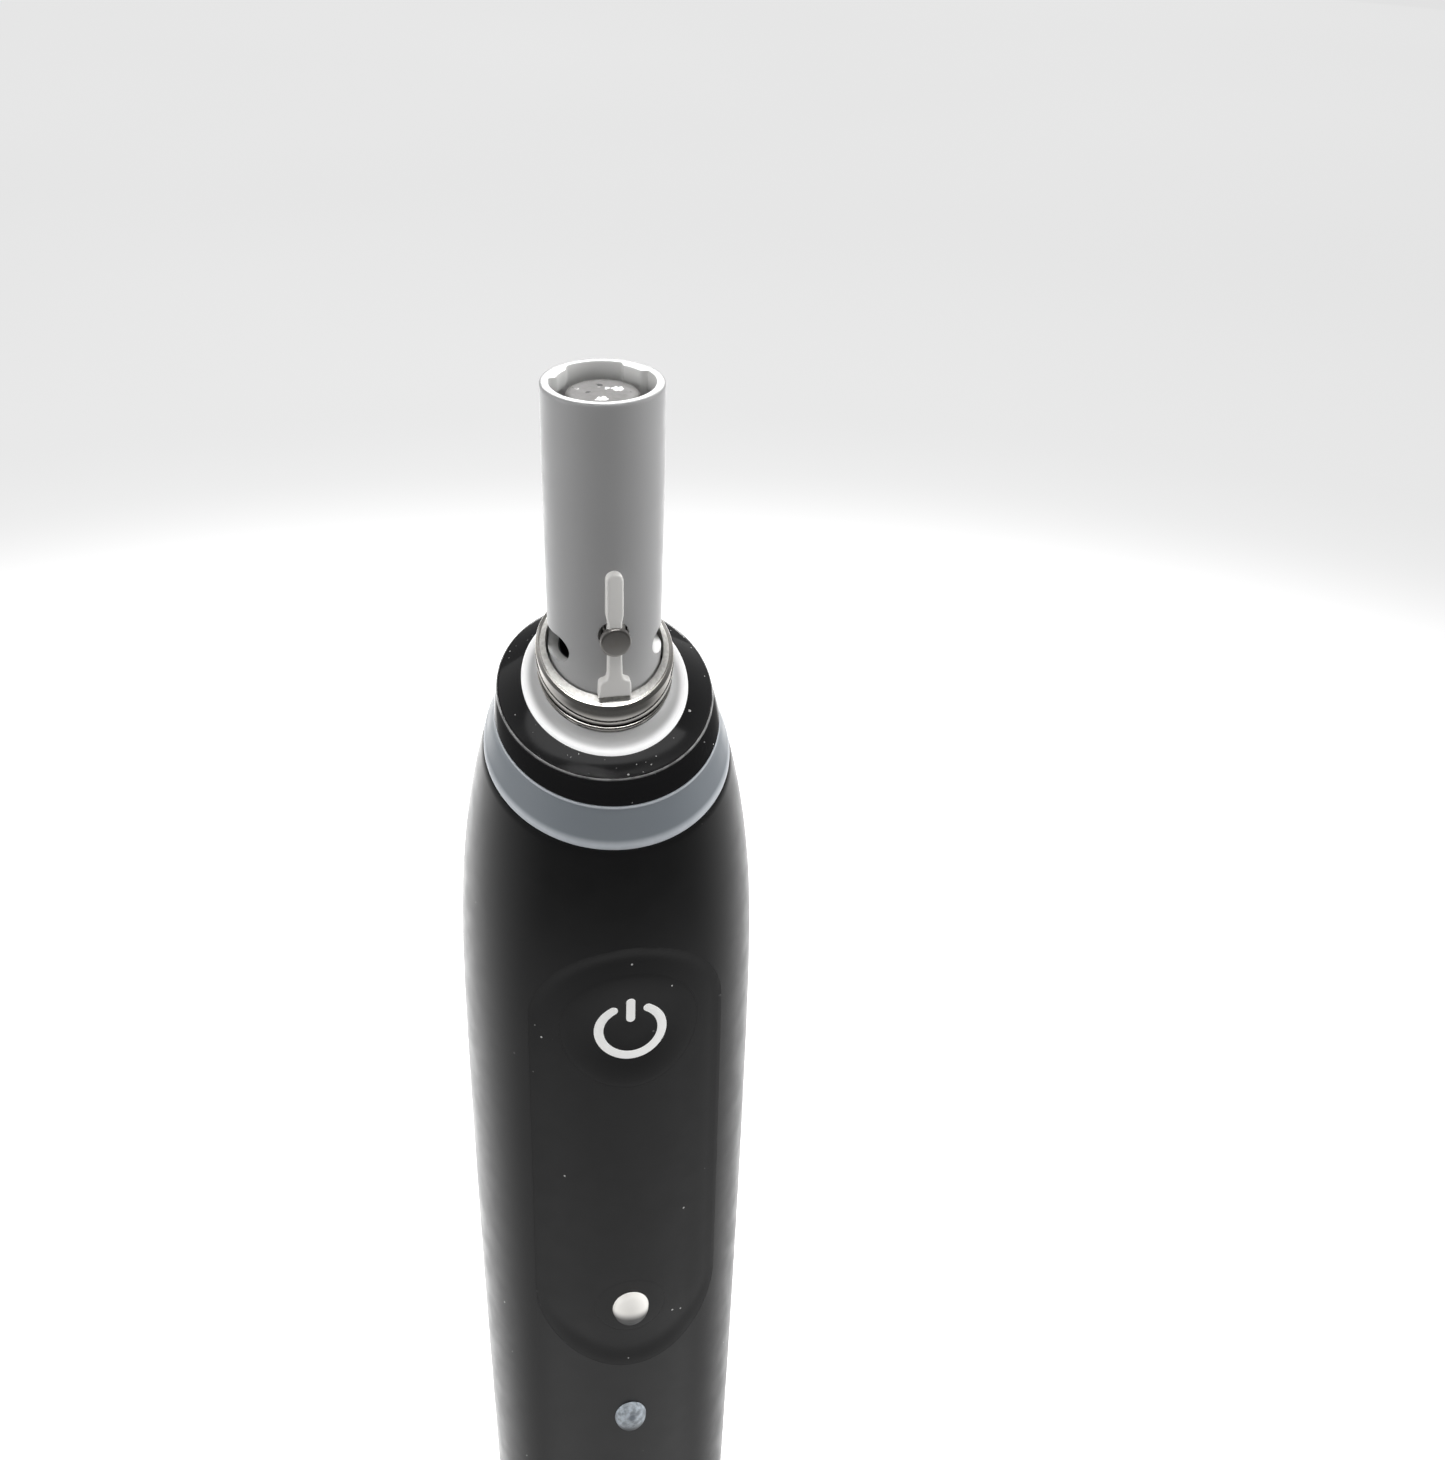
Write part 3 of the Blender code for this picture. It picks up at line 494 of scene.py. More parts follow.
def brushed_steel(name, colour, rough, lines=(12.0, 12.0, 9000.0), worn=0.12, dull_inside=None):
    """Turned steel: very fine lines round the axis, slightly duller, browner patches, and a matt centre; with
    dull_inside, also a painted shade that darkens the lower barrel above the foot ridge.
    """
    look = Finish(name, Metallic=1.0)
    streaks = look.noise(1.0, 2.0, look.stretch(lines))
    patch = look.noise(4.0 * MM, 2.0)
    brown = (colour[0] * (1 - worn), colour[1] * (1 - 1.3 * worn), colour[2] * (1 - 1.8 * worn))
    base = look.mix(look.ramp(patch, 0.4, 0.7), colour, brown)
    tone = look.mix(look.ramp(streaks, 0.35, 0.65), base, shade(colour, 0.97))
    gloss = look.ramp(patch, 0.3, 0.7, rough * 0.9, rough * 1.15)
    if dull_inside:
        inside = look.ramp(axis_distance(look), dull_inside - 0.06 * MM, dull_inside + 0.02 * MM, 1.0, 0.0)
        mottle = look.ramp(look.noise(0.35 * MM, 4.0), 0.35, 0.65)
        mottle = look.mix(mottle, (0.80, 0.79, 0.76), (0.66, 0.65, 0.62))
        tone = look.mix(inside, tone, mottle)
        gloss = look.math("ADD", gloss, look.math("MULTIPLY", inside, 0.34))
        level = neck_level(look, NECK_LEAN)
        # Painted shade: a dark band on the lower barrel, ending just above the foot ridge, which stays light.
        low = look.ramp(level, STEEL_BOTTOM + 0.50 * MM, STEEL_BOTTOM + 1.25 * MM, 1.0, 0.0)
        ridge = look.ramp(level, STEEL_BOTTOM + 0.34 * MM, STEEL_BOTTOM + 0.44 * MM)
        tone = look.mix(look.math("MULTIPLY", low, ridge), tone, (0.10, 0.098, 0.095))
    look.use("Base Color", tone)
    look.use("Roughness", gloss)
    look.use("Normal", look.bump(streaks, 0.0001 * MM))
    return look.material


def winding(name, colour, wire):
    """Wire wound in level turns."""
    look = Finish(name, Metallic=1.0)
    turns = look.node("ShaderNodeTexWave", bands_direction="Z")
    turns.inputs["Scale"].default_value = 0.05 / wire
    turns.inputs["Distortion"].default_value = 0.4
    look.link(look.place, turns.inputs["Vector"])
    base = look.mix(turns.outputs["Fac"], shade(colour, 0.45), colour)
    look.use("Base Color", base)
    look.use("Roughness", look.ramp(look.noise(1 * MM), 0.3, 0.7, 0.3, 0.45))
    look.use("Normal", look.bump(turns.outputs["Fac"], wire * 0.3))
    return look.material


def circuit(name, colour):
    """A circuit board: lacquer with paler tracks and bright solder spots."""
    look = Finish(name, Roughness=0.38, Coat_Weight=0.3)
    tracks = look.node("ShaderNodeTexBrick")
    tracks.inputs["Scale"].default_value = 260.0
    tracks.inputs["Color1"].default_value = (*colour, 1.0)
    tracks.inputs["Color2"].default_value = (*shade(colour, 1.25), 1.0)
    tracks.inputs["Mortar"].default_value = (*shade(colour, 2.2), 1.0)
    tracks.inputs["Mortar Size"].default_value = 0.03
    look.link(look.place, tracks.inputs["Vector"])
    solder = look.spots(1.6 * MM, 0.16)
    look.use("Base Color", look.mix(solder, tracks.outputs["Color"], (0.6, 0.6, 0.58)))
    look.use("Metallic", solder)
    look.use("Normal", look.bump(solder, 0.05 * MM))
    return look.material


def neck_level(look, slope):
    """The leaning height above the ring plane, as a texture value."""
    _, y, z = look.axes()
    return look.math("SUBTRACT", look.math("SUBTRACT", z, RING_Z), look.math("MULTIPLY", y, slope))


def axis_distance(look):
    """The distance from the handle's axis, as a texture value."""
    x, y, _ = look.axes()
    return look.math("SQRT", look.math("ADD", look.math("MULTIPLY", x, x), look.math("MULTIPLY", y, y)))


def band(look, value, middle, half, soft):
    """A mask that is 1 within half of a middle value."""
    off = look.math("ABSOLUTE", look.math("SUBTRACT", value, middle))
    return look.ramp(off, half, half + soft, 1.0, 0.0)


def sleeve_with_painted_light_and_shade(name, outside, inside, rough):
    """Grey plastic outside; a paler copy of it on the inner wall and near the mouth that is painted light,
    and painted shade that darkens the deep bore.
    """
    look = Finish(name)
    cloud = look.noise(9 * MM, 2.0)
    skin = look.cloudy(cloud, outside)
    # Painted light: the lining is a paler copy of the grey, for the rim top and the inner wall.
    lining = look.cloudy(cloud, inside)
    # Painted shade: surfaces deep in the bore, nearer the axis than its wall, go nearly black.
    deep = look.ramp(look.axes()[2], SLEEVE_TOP - 12 * MM, SLEEVE_TOP - 5 * MM, 1.0, 0.0)
    away = axis_distance(look)
    bore = look.ramp(away, SLEEVE_RADIUS - 1.25 * MM, SLEEVE_RADIUS - 1.1 * MM, 1.0, 0.0)
    lining = look.mix(look.math("MULTIPLY", deep, bore), lining, (0.04, 0.04, 0.04))
    share = look.ramp(away, SLEEVE_RADIUS - 0.45 * MM, SLEEVE_RADIUS - 0.22 * MM)
    look.use("Base Color", look.mix(share, lining, skin))
    look.use("Roughness", look.uneven(rough))
    look.fine_grain()
    return look.material


def white_with_painted_lip_highlight(name, colour, rough):
    """White plastic with a painted highlight: a glow along its thin outer lip."""
    look = Finish(name)
    look.use("Base Color", look.cloudy(look.noise(9 * MM, 2.0), colour))
    look.use("Roughness", look.uneven(rough))
    look.fine_grain()
    # Painted highlight: the outer lip glows, standing in for the light it catches.
    look.glow(look.ramp(axis_distance(look), COLLAR_RADIUS - 1.0 * MM, COLLAR_RADIUS - 0.25 * MM, 0.0, 0.6))
    return look.material


def glossy_neck(name, colour, rough):
    """Glossy black plastic with dust, and a painted highlight along its crease."""
    look = Finish(name)
    base = look.cloudy(look.noise(9 * MM, 2.0), colour, 0.08)
    # Painted highlight: a pale band along the crease, broken up by noise.
    crease = band(look, axis_distance(look), CREASE_RADIUS - 0.04 * MM, 0.03 * MM, 0.06 * MM)
    crease_highlight = look.math("MULTIPLY", crease, look.ramp(look.noise(1.2 * MM, 3.0), 0.3, 0.6, 0.5, 1.0))
    base = look.mix(crease_highlight, base, (0.30, 0.30, 0.30))
    small = look.math("MULTIPLY", look.spots(0.8 * MM, 0.07), look.ramp(look.noise(4 * MM, 1.0), 0.44, 0.56))
    large = look.math("MULTIPLY", look.spots(2.1 * MM, 0.05), look.ramp(look.noise(7 * MM, 1.0), 0.42, 0.52))
    base = look.mix(look.math("MAXIMUM", small, large), base, (0.42, 0.42, 0.41))
    look.use("Base Color", base)
    look.use("Roughness", look.uneven(rough, 0.2))
    look.use("Normal", look.bump(look.noise(0.9 * MM, 2.0), 0.0005 * MM))
    return look.material


def ring_diffuser(name):
    """Smoky translucent plastic with a faint even glow, paler along its top and bottom edges as painted
    highlights.
    """
    look = Finish(name, Coat_Weight=0.15, Coat_Roughness=0.2, Emission_Color=(0.84, 0.93, 1.0, 1.0),
                  Emission_Strength=0.085)
    level = neck_level(look, BODY_LEAN)
    # Painted highlights: the top and bottom edges of the ring are made paler.
    foot = look.ramp(level, 0.40 * MM, 0.95 * MM, 1.0, 0.0)
    head = look.ramp(level, LIGHT_RING_HEIGHT - 0.3 * MM, LIGHT_RING_HEIGHT - 0.05 * MM)
    painted_lip_highlight = look.math("MAXIMUM", foot, head)
    cloud = look.noise(5 * MM, 3.0)
    core = look.mix(cloud, (0.085, 0.095, 0.108), (0.10, 0.112, 0.125))
    # Colour of the painted highlights on the edges.
    edge = look.mix(look.noise(0.8 * MM, 4.0), (0.40, 0.42, 0.45), (0.55, 0.57, 0.60))
    base = look.mix(look.math("MULTIPLY", painted_lip_highlight, 0.75), core, edge)
    specks = look.spots(2.2 * MM, 0.035)
    look.use("Base Color", look.mix(specks, base, (0.55, 0.57, 0.58)))
    look.use("Roughness", look.ramp(look.noise(2 * MM, 4.0), 0.3, 0.7, 0.36, 0.46))
    look.use("Normal", look.bump(look.noise(0.3 * MM, 2.0), 0.003 * MM))
    return look.material


def lens_with_mark(name, colour, mark, centre_z):
    """A cloudy pale lens with a plain round mark inside it, and a painted shade that darkens its lower edge.
    """
    look = Finish(name, Coat_Weight=0.3)
    x, _, z = look.axes()
    rise = look.math("SUBTRACT", z, centre_z)
    flat = look.node("ShaderNodeCombineXYZ")
    look.link(x, flat.inputs["X"])
    look.link(rise, flat.inputs["Y"])
    spot = look.ramp(look.length(flat.outputs["Vector"]), 0.2 * MM, 0.6 * MM, 0.85, 0.0)
    cloud = look.noise(0.45 * MM, 4.0)
    base = look.mix(look.ramp(cloud, 0.3, 0.7), shade(colour, 0.62), shade(colour, 1.35))
    base = look.mix(spot, base, mark)
    # Painted shade: the lens darkens towards its lower edge.
    lower = look.ramp(rise, -2.2 * MM, -0.7 * MM)
    look.use("Base Color", look.mix(lower, (0.05, 0.055, 0.06), base))
    look.use("Roughness", look.ramp(cloud, 0.3, 0.7, 0.35, 0.5))
    look.use("Normal", look.bump(cloud, 0.01 * MM))
    return look.material


def dot_with_painted_light(name, colour, centre_z):
    """A warm white lens with painted light: pale and faintly glowing above, and darkened by painted shade at
    its lower edge.
    """
    look = Finish(name, Coat_Weight=0.2)
    # Painted light and shade: the upper part is pale and glows, the lower edge goes dark.
    upper = look.ramp(look.math("SUBTRACT", look.axes()[2], centre_z), -1.15 * MM, 0.15 * MM)
    cloud = look.noise(1.5 * MM, 2.0)
    look.use("Base Color", look.mix(upper, (0.09, 0.09, 0.088), look.cloudy(cloud, colour)))
    look.glow(look.math("MULTIPLY", upper, 0.12), (1, 0.98, 0.95, 1))
    look.use("Roughness", look.ramp(cloud, 0.3, 0.7, 0.42, 0.48))
    look.fine_grain()
    return look.material


def blot(look, middle, size):
    """A mask of one ragged spot, given in X and Y."""
    off = look.node("ShaderNodeVectorMath", operation="SUBTRACT")
    look.link(look.place, off.inputs[0])
    off.inputs[1].default_value = (*middle, 0.0)
    flat = look.node("ShaderNodeVectorMath", operation="MULTIPLY")
    look.link(off.outputs["Vector"], flat.inputs[0])
    flat.inputs[1].default_value = (1.0, 1.0, 0.0)
    wobble = look.ramp(look.noise(0.35 * MM), 0.3, 0.7, -0.4 * size, 0.4 * size)
    ragged = look.math("ADD", look.length(flat.outputs["Vector"]), wobble)
    return look.ramp(ragged, 0.7 * size, size, 1.0, 0.0)


def speckled_tip(name):
    """The drive tip's pale end, with dark specks of toothpaste left on it and bright specks that are painted
    glints.
    """
    look = Finish(name, Specular_IOR_Level=0.05)
    cloud = look.noise(0.9 * MM, 5.0)
    base = look.mix(look.ramp(cloud, 0.3, 0.7), (0.15, 0.145, 0.14), (0.23, 0.225, 0.22))
    dark = look.math("MULTIPLY", look.spots(1.3 * MM, 0.14, 0.05), look.ramp(look.noise(2.4 * MM), 0.5, 0.56))
    # Painted glints: the bright specks.
    pale = look.math("MULTIPLY", look.spots(1.0 * MM, 0.16, 0.05), look.ramp(look.noise(1.7 * MM), 0.5, 0.58))
    for x, y, size in ((0.0, 1.7, 0.30), (-1.2, 0.2, 0.22)):
        dark = look.math("MAXIMUM", dark, blot(look, (x * MM, y * MM), size * MM))
    # Painted glints at given places.
    for x, y, size in ((1.4, 0.6, 0.50), (-0.2, -1.3, 0.45), (0.5, 0.9, 0.25)):
        pale = look.math("MAXIMUM", pale, blot(look, (x * MM, y * MM), size * MM))
    base = look.mix(dark, base, (0.02, 0.02, 0.02))
    look.use("Base Color", look.mix(pale, base, (0.95, 0.95, 0.93)))
    look.use("Roughness", look.ramp(cloud, 0.3, 0.7, 0.35, 0.6))
    look.use("Normal", look.bump(cloud, 0.03 * MM))
    return look.material


def make_finishes():
    dust = (0.55, 0.55, 0.54)
    return {
        "casing": moulded("satin_black_casing", (0.0050, 0.0050, 0.0053), 0.31,
                          dust=(3.2 * MM, 0.022, dust)),
        "panel": moulded("soft_black_panel", (0.0052, 0.0052, 0.0055), 0.34, grain=0.2 * MM,
                         dust=(2.6 * MM, 0.03, dust), Specular_IOR_Level=0.42),
        "gloss": glossy_neck("glossy_black_neck", (0.006, 0.006, 0.0065), 0.10),
        "white": white_with_painted_lip_highlight("white_collar_plastic", (0.42, 0.42, 0.42), 0.35),
        "key": moulded("pale_key_plastic", (0.70, 0.69, 0.67), 0.42, spread=0.03),
        "sleeve": sleeve_with_painted_light_and_shade("grey_sleeve_plastic", (0.32, 0.32, 0.322), (0.62, 0.62, 0.61), 0.38),
        "tip": speckled_tip("speckled_tip"),
        "steel": brushed_steel("turned_steel", (0.74, 0.72, 0.69), 0.14,
                               dull_inside=STEEL_RADIUS - 0.44 * MM),
        "pin": brushed_steel("pin_steel", (0.40, 0.385, 0.37), 0.34, (2600.0, 2600.0, 2600.0)),
        "diffuser": ring_diffuser("smoky_diffuser"),
        # The icon's faint glow is painted light that makes it paler than its lighting does.
        "icon": moulded("icon_inlay", (0.85, 0.85, 0.83), 0.5, spread=0.04, Emission_Color=(1, 1, 1, 1),
                        Emission_Strength=0.2),
        "dot": dot_with_painted_light("warm_white_lens", (0.86, 0.84, 0.80), MODE_Z),
        "indicator": lens_with_mark("pale_blue_lens", (0.38, 0.42, 0.46), (0.13, 0.15, 0.18),
                                    INDICATOR_Z + 0.55 * MM),
        "inner": moulded("inner_plastic", (0.30, 0.31, 0.33), 0.5),
        "copper": winding("copper_winding", (0.72, 0.36, 0.20), 0.25 * MM),
        "magnet": moulded("dark_magnet", (0.07, 0.07, 0.075), 0.5, grain=0.3 * MM, depth=0.02 * MM),
        "board": circuit("green_circuit_board", (0.02, 0.13, 0.05)),
        "switch": moulded("switch_black", (0.03, 0.03, 0.03), 0.4),
        "rubber": moulded("dark_rubber", (0.028, 0.028, 0.029), 0.75, grain=0.25 * MM, depth=0.02 * MM),
        "battery": moulded("battery_sleeve", (0.06, 0.17, 0.38), 0.3, spread=0.12),
        "base": moulded("pale_base_plastic", (0.40, 0.405, 0.41), 0.36, spread=0.03),
    }


CAD_FINISHES = {
    "body_black": "casing", "neck_gloss": "gloss", "soft_panel": "panel", "collar_white": "white",
    "sleeve_grey": "sleeve", "tip_grey": "tip", "inner_plastic": "inner", "ring_diffuser": "diffuser",
    "lens_pale": "dot", "lens_indicator": "indicator", "steel": "steel", "copper": "copper",
    "magnet": "magnet", "board": "board", "switch": "switch", "seal_rubber": "rubber",
    "battery": "battery", "base_white": "base",
}


def dress_cad_nodes(finishes):
    """Give every CAD node the finish of its record slot."""
    for entry in frame["record"]["subparts"]:
        node = frame["nodes"][entry["node"]]
        finish = finishes[CAD_FINISHES[entry["material_slot"]]]
        for material_slot in node.material_slots:
            material_slot.link = "OBJECT"
            material_slot.material = finish


# ---------------------------------------------------------------- casing

def make_body_skin(finish):
    """The satin black casing, with a true opening for the panel and a hole for the light below it."""
    top = -SEAM
    bottom = SHELL_LOW.z - RING_Z
    foot = 1.6 * MM
    wall = 1.7 * MM
    shoulder = -16.0 * MM
    turns = 180

    def level(turn, height, inset=0.0):
        return ring_point(skin_radius(turn, height) - inset, RING_Z + height, turn)

    def upper(turn, share):
        """From the leaning top edge down to the level shoulder."""
        start = skin_ring(turn, top)
        return level(turn, (start.z - RING_Z) * (1 - share) + shoulder * share)

    rows = [lambda t: skin_ring(t, top, wall), lambda t: skin_ring(t, top, 0.14 * MM),
            lambda t: skin_ring(t, top - 0.03 * MM, 0.05 * MM), lambda t: skin_ring(t, top - 0.13 * MM)]
    for i in range(1, 22):
        rows.append(lambda t, s=i / 21: upper(t, 0.012 + 0.988 * s))
    steps = 60
    for i in range(1, steps + 1):
        height = shoulder + (bottom + foot - shoulder) * i / steps
        rows.append(lambda t, h=height: level(t, h))
    radius = body_radius(bottom + foot)
    for i in range(1, 9):
        angle = math.radians(90 * i / 8)
        reach = radius - foot + foot * math.cos(angle)
        height = bottom + foot - foot * math.sin(angle)
        rows.append(lambda t, r=reach, h=height: ring_point(r, RING_Z + h, t))
    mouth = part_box("bottom_cap")[1].x + 0.1 * MM
    rows.append(lambda t: ring_point(mouth, RING_Z + bottom, t))
    rows.append(lambda t: ring_point(mouth, RING_Z + bottom + 3 * MM, t))
    for i in range(0, 12):
        height = bottom + 6 * MM + (shoulder - bottom - 6 * MM) * i / 11
        rows.append(lambda t, h=height: level(t, h, wall))
    mesh = grid("body_skin", len(rows), turns, lambda i, j: rows[i](2 * math.pi * (j + 0.5) / turns))
    face_outwards(mesh)
    opening = from_outline("opening", panel_outline(HAIRLINE), CUT_START, -6 * MM)
    hole = bar(INDICATOR_RADIUS - 0.1 * MM, (0, CUT_START, INDICATOR_Z), (0, -6 * MM, INDICATOR_Z))
    mesh = carve(mesh, [opening, hole])
    return piece("body_skin", mesh, "handle", finish, ["body_shell"])


def make_light_ring(finish):
    """The smoky ring between body and cap, with a thin lip along its top and a fuller one below."""
    high = LIGHT_RING_HEIGHT - SEAM
    low = SEAM
    wall = 1.4 * MM
    outline = [
        (high, wall), (high, 0.14 * MM), (high - 0.02 * MM, 0.02 * MM), (high - 0.08 * MM, -0.02 * MM),
        (high - 0.17 * MM, -0.01 * MM), (high - 0.26 * MM, 0.08 * MM), (high - 0.6 * MM, 0.12 * MM),
        (2.9 * MM, 0.10 * MM), (2.3 * MM, 0.08 * MM), (1.6 * MM, 0.06 * MM), (1.0 * MM, 0.05 * MM),
        (0.72 * MM, 0.02 * MM), (0.5 * MM, -0.04 * MM), (0.3 * MM, -0.04 * MM), (low + 0.1 * MM, 0.0),
        (low + 0.03 * MM, 0.06 * MM), (low, 0.16 * MM), (low, wall),
    ]
    turns = 180
    mesh = grid("light_ring_glow", len(outline), turns,
                lambda i, j: skin_ring(2 * math.pi * j / turns, *outline[i]))
    return piece("light_ring_glow", face_outwards(mesh), "handle", finish, ["light_ring"])


def make_neck_cap(finish):
    """The glossy cap: a leaning cone face, a crisp crease, and a wall that widens to the light ring."""
    turns = 240
    inner_radius = COLLAR_RADIUS + 0.01 * MM
    inner_height = COLLAR_HEIGHT - 0.05 * MM
    foot_level = LIGHT_RING_HEIGHT + SEAM

    def face(turn, share, drop=0.0):
        radius = blend_value(inner_radius, CREASE_RADIUS, share)
        height = blend_value(inner_height, CREASE_HEIGHT, share) - drop
        return ring_point(radius, RING_Z + height, turn, blend_value(NECK_LEAN, BODY_LEAN, share))

    def wall(turn, share):
        start = face(turn, 1.0, 0.10 * MM)
        end = skin_ring(turn, foot_level)
        bulge = math.sin(math.pi * share) * 0.05 * MM
        away = Vector((math.sin(turn), -math.cos(turn), 0.4)).normalized()
        return start.lerp(end, share) + away * bulge

    rows = [lambda t: face(t, 0.0, 1.6 * MM), lambda t: face(t, 0.0, 0.04 * MM), lambda t: face(t, 0.01)]
    for i in range(1, 12):
        rows.append(lambda t, s=0.955 * i / 11: face(t, s))
    for share, drop in ((0.968, -0.025), (0.980, -0.050), (0.990, -0.050), (0.998, -0.028), (1.004, 0.015)):
        rows.append(lambda t, s=share, d=drop * MM: face(t, s, d))
    for i in range(0, 9):
        rows.append(lambda t, s=0.03 + 0.95 * i / 8: wall(t, s))
    rows.append(lambda t: skin_ring(t, foot_level, 0.05 * MM))
    rows.append(lambda t: skin_ring(t, foot_level, 1.5 * MM))
    mesh = grid("neck_cap_gloss", len(rows), turns, lambda i, j: rows[i](2 * math.pi * j / turns))
    return piece("neck_cap_gloss", face_outwards(mesh), "handle", finish, ["neck_cap"],
                 angle=60)


def make_collar(finish):
    """The white collar: a hollow sweep out from the steel to a rounded lip, which its finish lights with a
    painted highlight.
    """
    low = COLLAR_HEIGHT - 1.4 * MM
    inner = STEEL_RADIUS - 0.26 * MM
    lip = 0.24 * MM
    lip_radius = COLLAR_RADIUS - lip
    lip_height = COLLAR_HEIGHT - 0.06 * MM
    outline = [Vector((inner, low))]
    start = Vector((inner, STEEL_BOTTOM - 0.12 * MM))
    corner = Vector((inner + 0.30 * MM, COLLAR_HEIGHT - 0.02 * MM))
    end = Vector((lip_radius - 0.10 * MM, lip_height + lip * 0.86))
    outline += [curve_point(start, corner, end, k / 12) for k in range(13)]
    outline += [Vector(point) for point in arc((lip_radius, lip_height), lip, 96, -8, 9)]
    outline.append(Vector((COLLAR_RADIUS - 0.02 * MM, low)))
    outline = [(point.x, RING_Z + point.y) for point in outline]
    return piece("collar_sweep", lathe("collar_sweep", outline, slope=NECK_LEAN), "handle", finish,
                 ["neck_collar"], angle=50)


def make_steel_ring(finish):
    """The steel ring: a matt top rising inwards, a bright shoulder, a barrel side and a thin foot ridge."""
    inner = 5.27 * MM  # clears the sleeve when the neck tips
    shoulder = STEEL_RADIUS - 0.38 * MM
    outline = [(inner, STEEL_TOP + 0.24 * MM), (inner + 0.05 * MM, STEEL_TOP + 0.32 * MM),
               (shoulder - 0.10 * MM, STEEL_TOP + 0.05 * MM)]
    outline += arc((shoulder, STEEL_TOP - 0.32 * MM), 0.35 * MM, 84, 14, 12)
    barrel = 2.6 * MM
    outline += arc((STEEL_RADIUS - barrel, STEEL_TOP - 0.90 * MM), barrel, 9, -26, 14)
    ridge = STEEL_BOTTOM + 0.26 * MM
    outline += [(STEEL_RADIUS - 0.40 * MM, ridge + 0.16 * MM)]
    outline += arc((STEEL_RADIUS - 0.26 * MM, ridge), 0.14 * MM, 110, -80, 6)
    stem = STEEL_RADIUS - 0.32 * MM
    hidden = STEEL_BOTTOM - 1.5 * MM
    outline += [(stem, ridge - 0.24 * MM), (stem, hidden), (inner, hidden)]
    outline = [(radius, RING_Z + height) for radius, height in outline]
    return piece("steel_ring_turned", lathe("steel_ring_turned", outline, 160, NECK_LEAN), "handle", finish,
                 ["steel_ring"], angle=50)


# ---------------------------------------------------------------- panel and buttons

def make_panel(finish):
    """The soft panel: sloping rim, thumb dish, and round openings for the two keys."""
    step = 0.4 * MM
    half = PANEL_WIDTH / 2 + step
    columns = 2 * int(half / step) + 1
    low = PANEL_LOW.z - PANEL_EDGE - step
    rows = int((PANEL_HIGH.z + PANEL_EDGE + step - low) / step) + 2
    thick = 1.5 * MM

    def front(i, j):
        x = -half + 2 * half * j / (columns - 1)
        return panel_face(x, low + step * i)

    verts = [front(i, j) for i in range(rows) for j in range(columns)]
    verts += [front(i, j) + Vector((0, thick, 0)) for i in range(rows) for j in range(columns)]
    back = rows * columns
    faces = []
    for i in range(rows - 1):
        for j in range(columns - 1):
            a = i * columns + j
            faces.append((a, a + 1, a + columns + 1, a + columns))
            faces.append((back + a, back + a + columns, back + a + columns + 1, back + a + 1))
    edge = list(range(columns))
    edge += [i * columns + columns - 1 for i in range(1, rows)]
    edge += [(rows - 1) * columns + j for j in range(columns - 2, -1, -1)]
    edge += [i * columns for i in range(rows - 2, 0, -1)]
    for k, a in enumerate(edge):
        b = edge[(k + 1) % len(edge)]
        faces.append((a, back + a, back + b, b))
    mesh = bpy.data.meshes.new("panel_soft")
    mesh.from_pydata(verts, [], faces)
    face_outwards(mesh)
    keep = from_outline("keep", panel_outline(-HAIRLINE), CUT_START, -4 * MM)
    mesh = carve(mesh, [keep], "INTERSECT")
    holes = [bar(POWER_RADIUS + HAIRLINE, (0, CUT_START, POWER_Z), (0, -4 * MM, POWER_Z), 96),
             bar(MODE_RADIUS + HAIRLINE, (0, CUT_START, MODE_Z), (0, -4 * MM, MODE_Z), 64)]
    mesh = carve(mesh, holes)
    return piece("panel_soft", mesh, "handle", finish, ["control_panel"], angle=50)


def make_key_cap(name, radius, height, finish, body, replaced):
    """A round key whose face carries the panel's surface on across it."""
    rings = 22
    turns = 96
    edge = 0.01 * MM

    def place(i, j):
        turn = 2 * math.pi * j / turns
        if i <= rings:
            reach = radius * max(i, 0.02) / rings
            point = panel_face(reach * math.cos(turn), height + reach * math.sin(turn))
            if i == rings:
                point.y += edge
            return point
        reach = radius if i == rings + 1 else radius * 0.02
        point = panel_face(radius * math.cos(turn), height + radius * math.sin(turn))
        flat = -11.6 * MM
        if i == rings + 1:
            return Vector((point.x, max(point.y + 0.5 * MM, flat), point.z))
        return Vector((reach * math.cos(turn), flat, height + reach * math.sin(turn)))

    mesh = grid(name, rings + 3, turns, place, close_rows=False)
    close_ends(mesh, rings + 3, turns)
    return piece(name, face_outwards(mesh), body, finish, [replaced], angle=50)


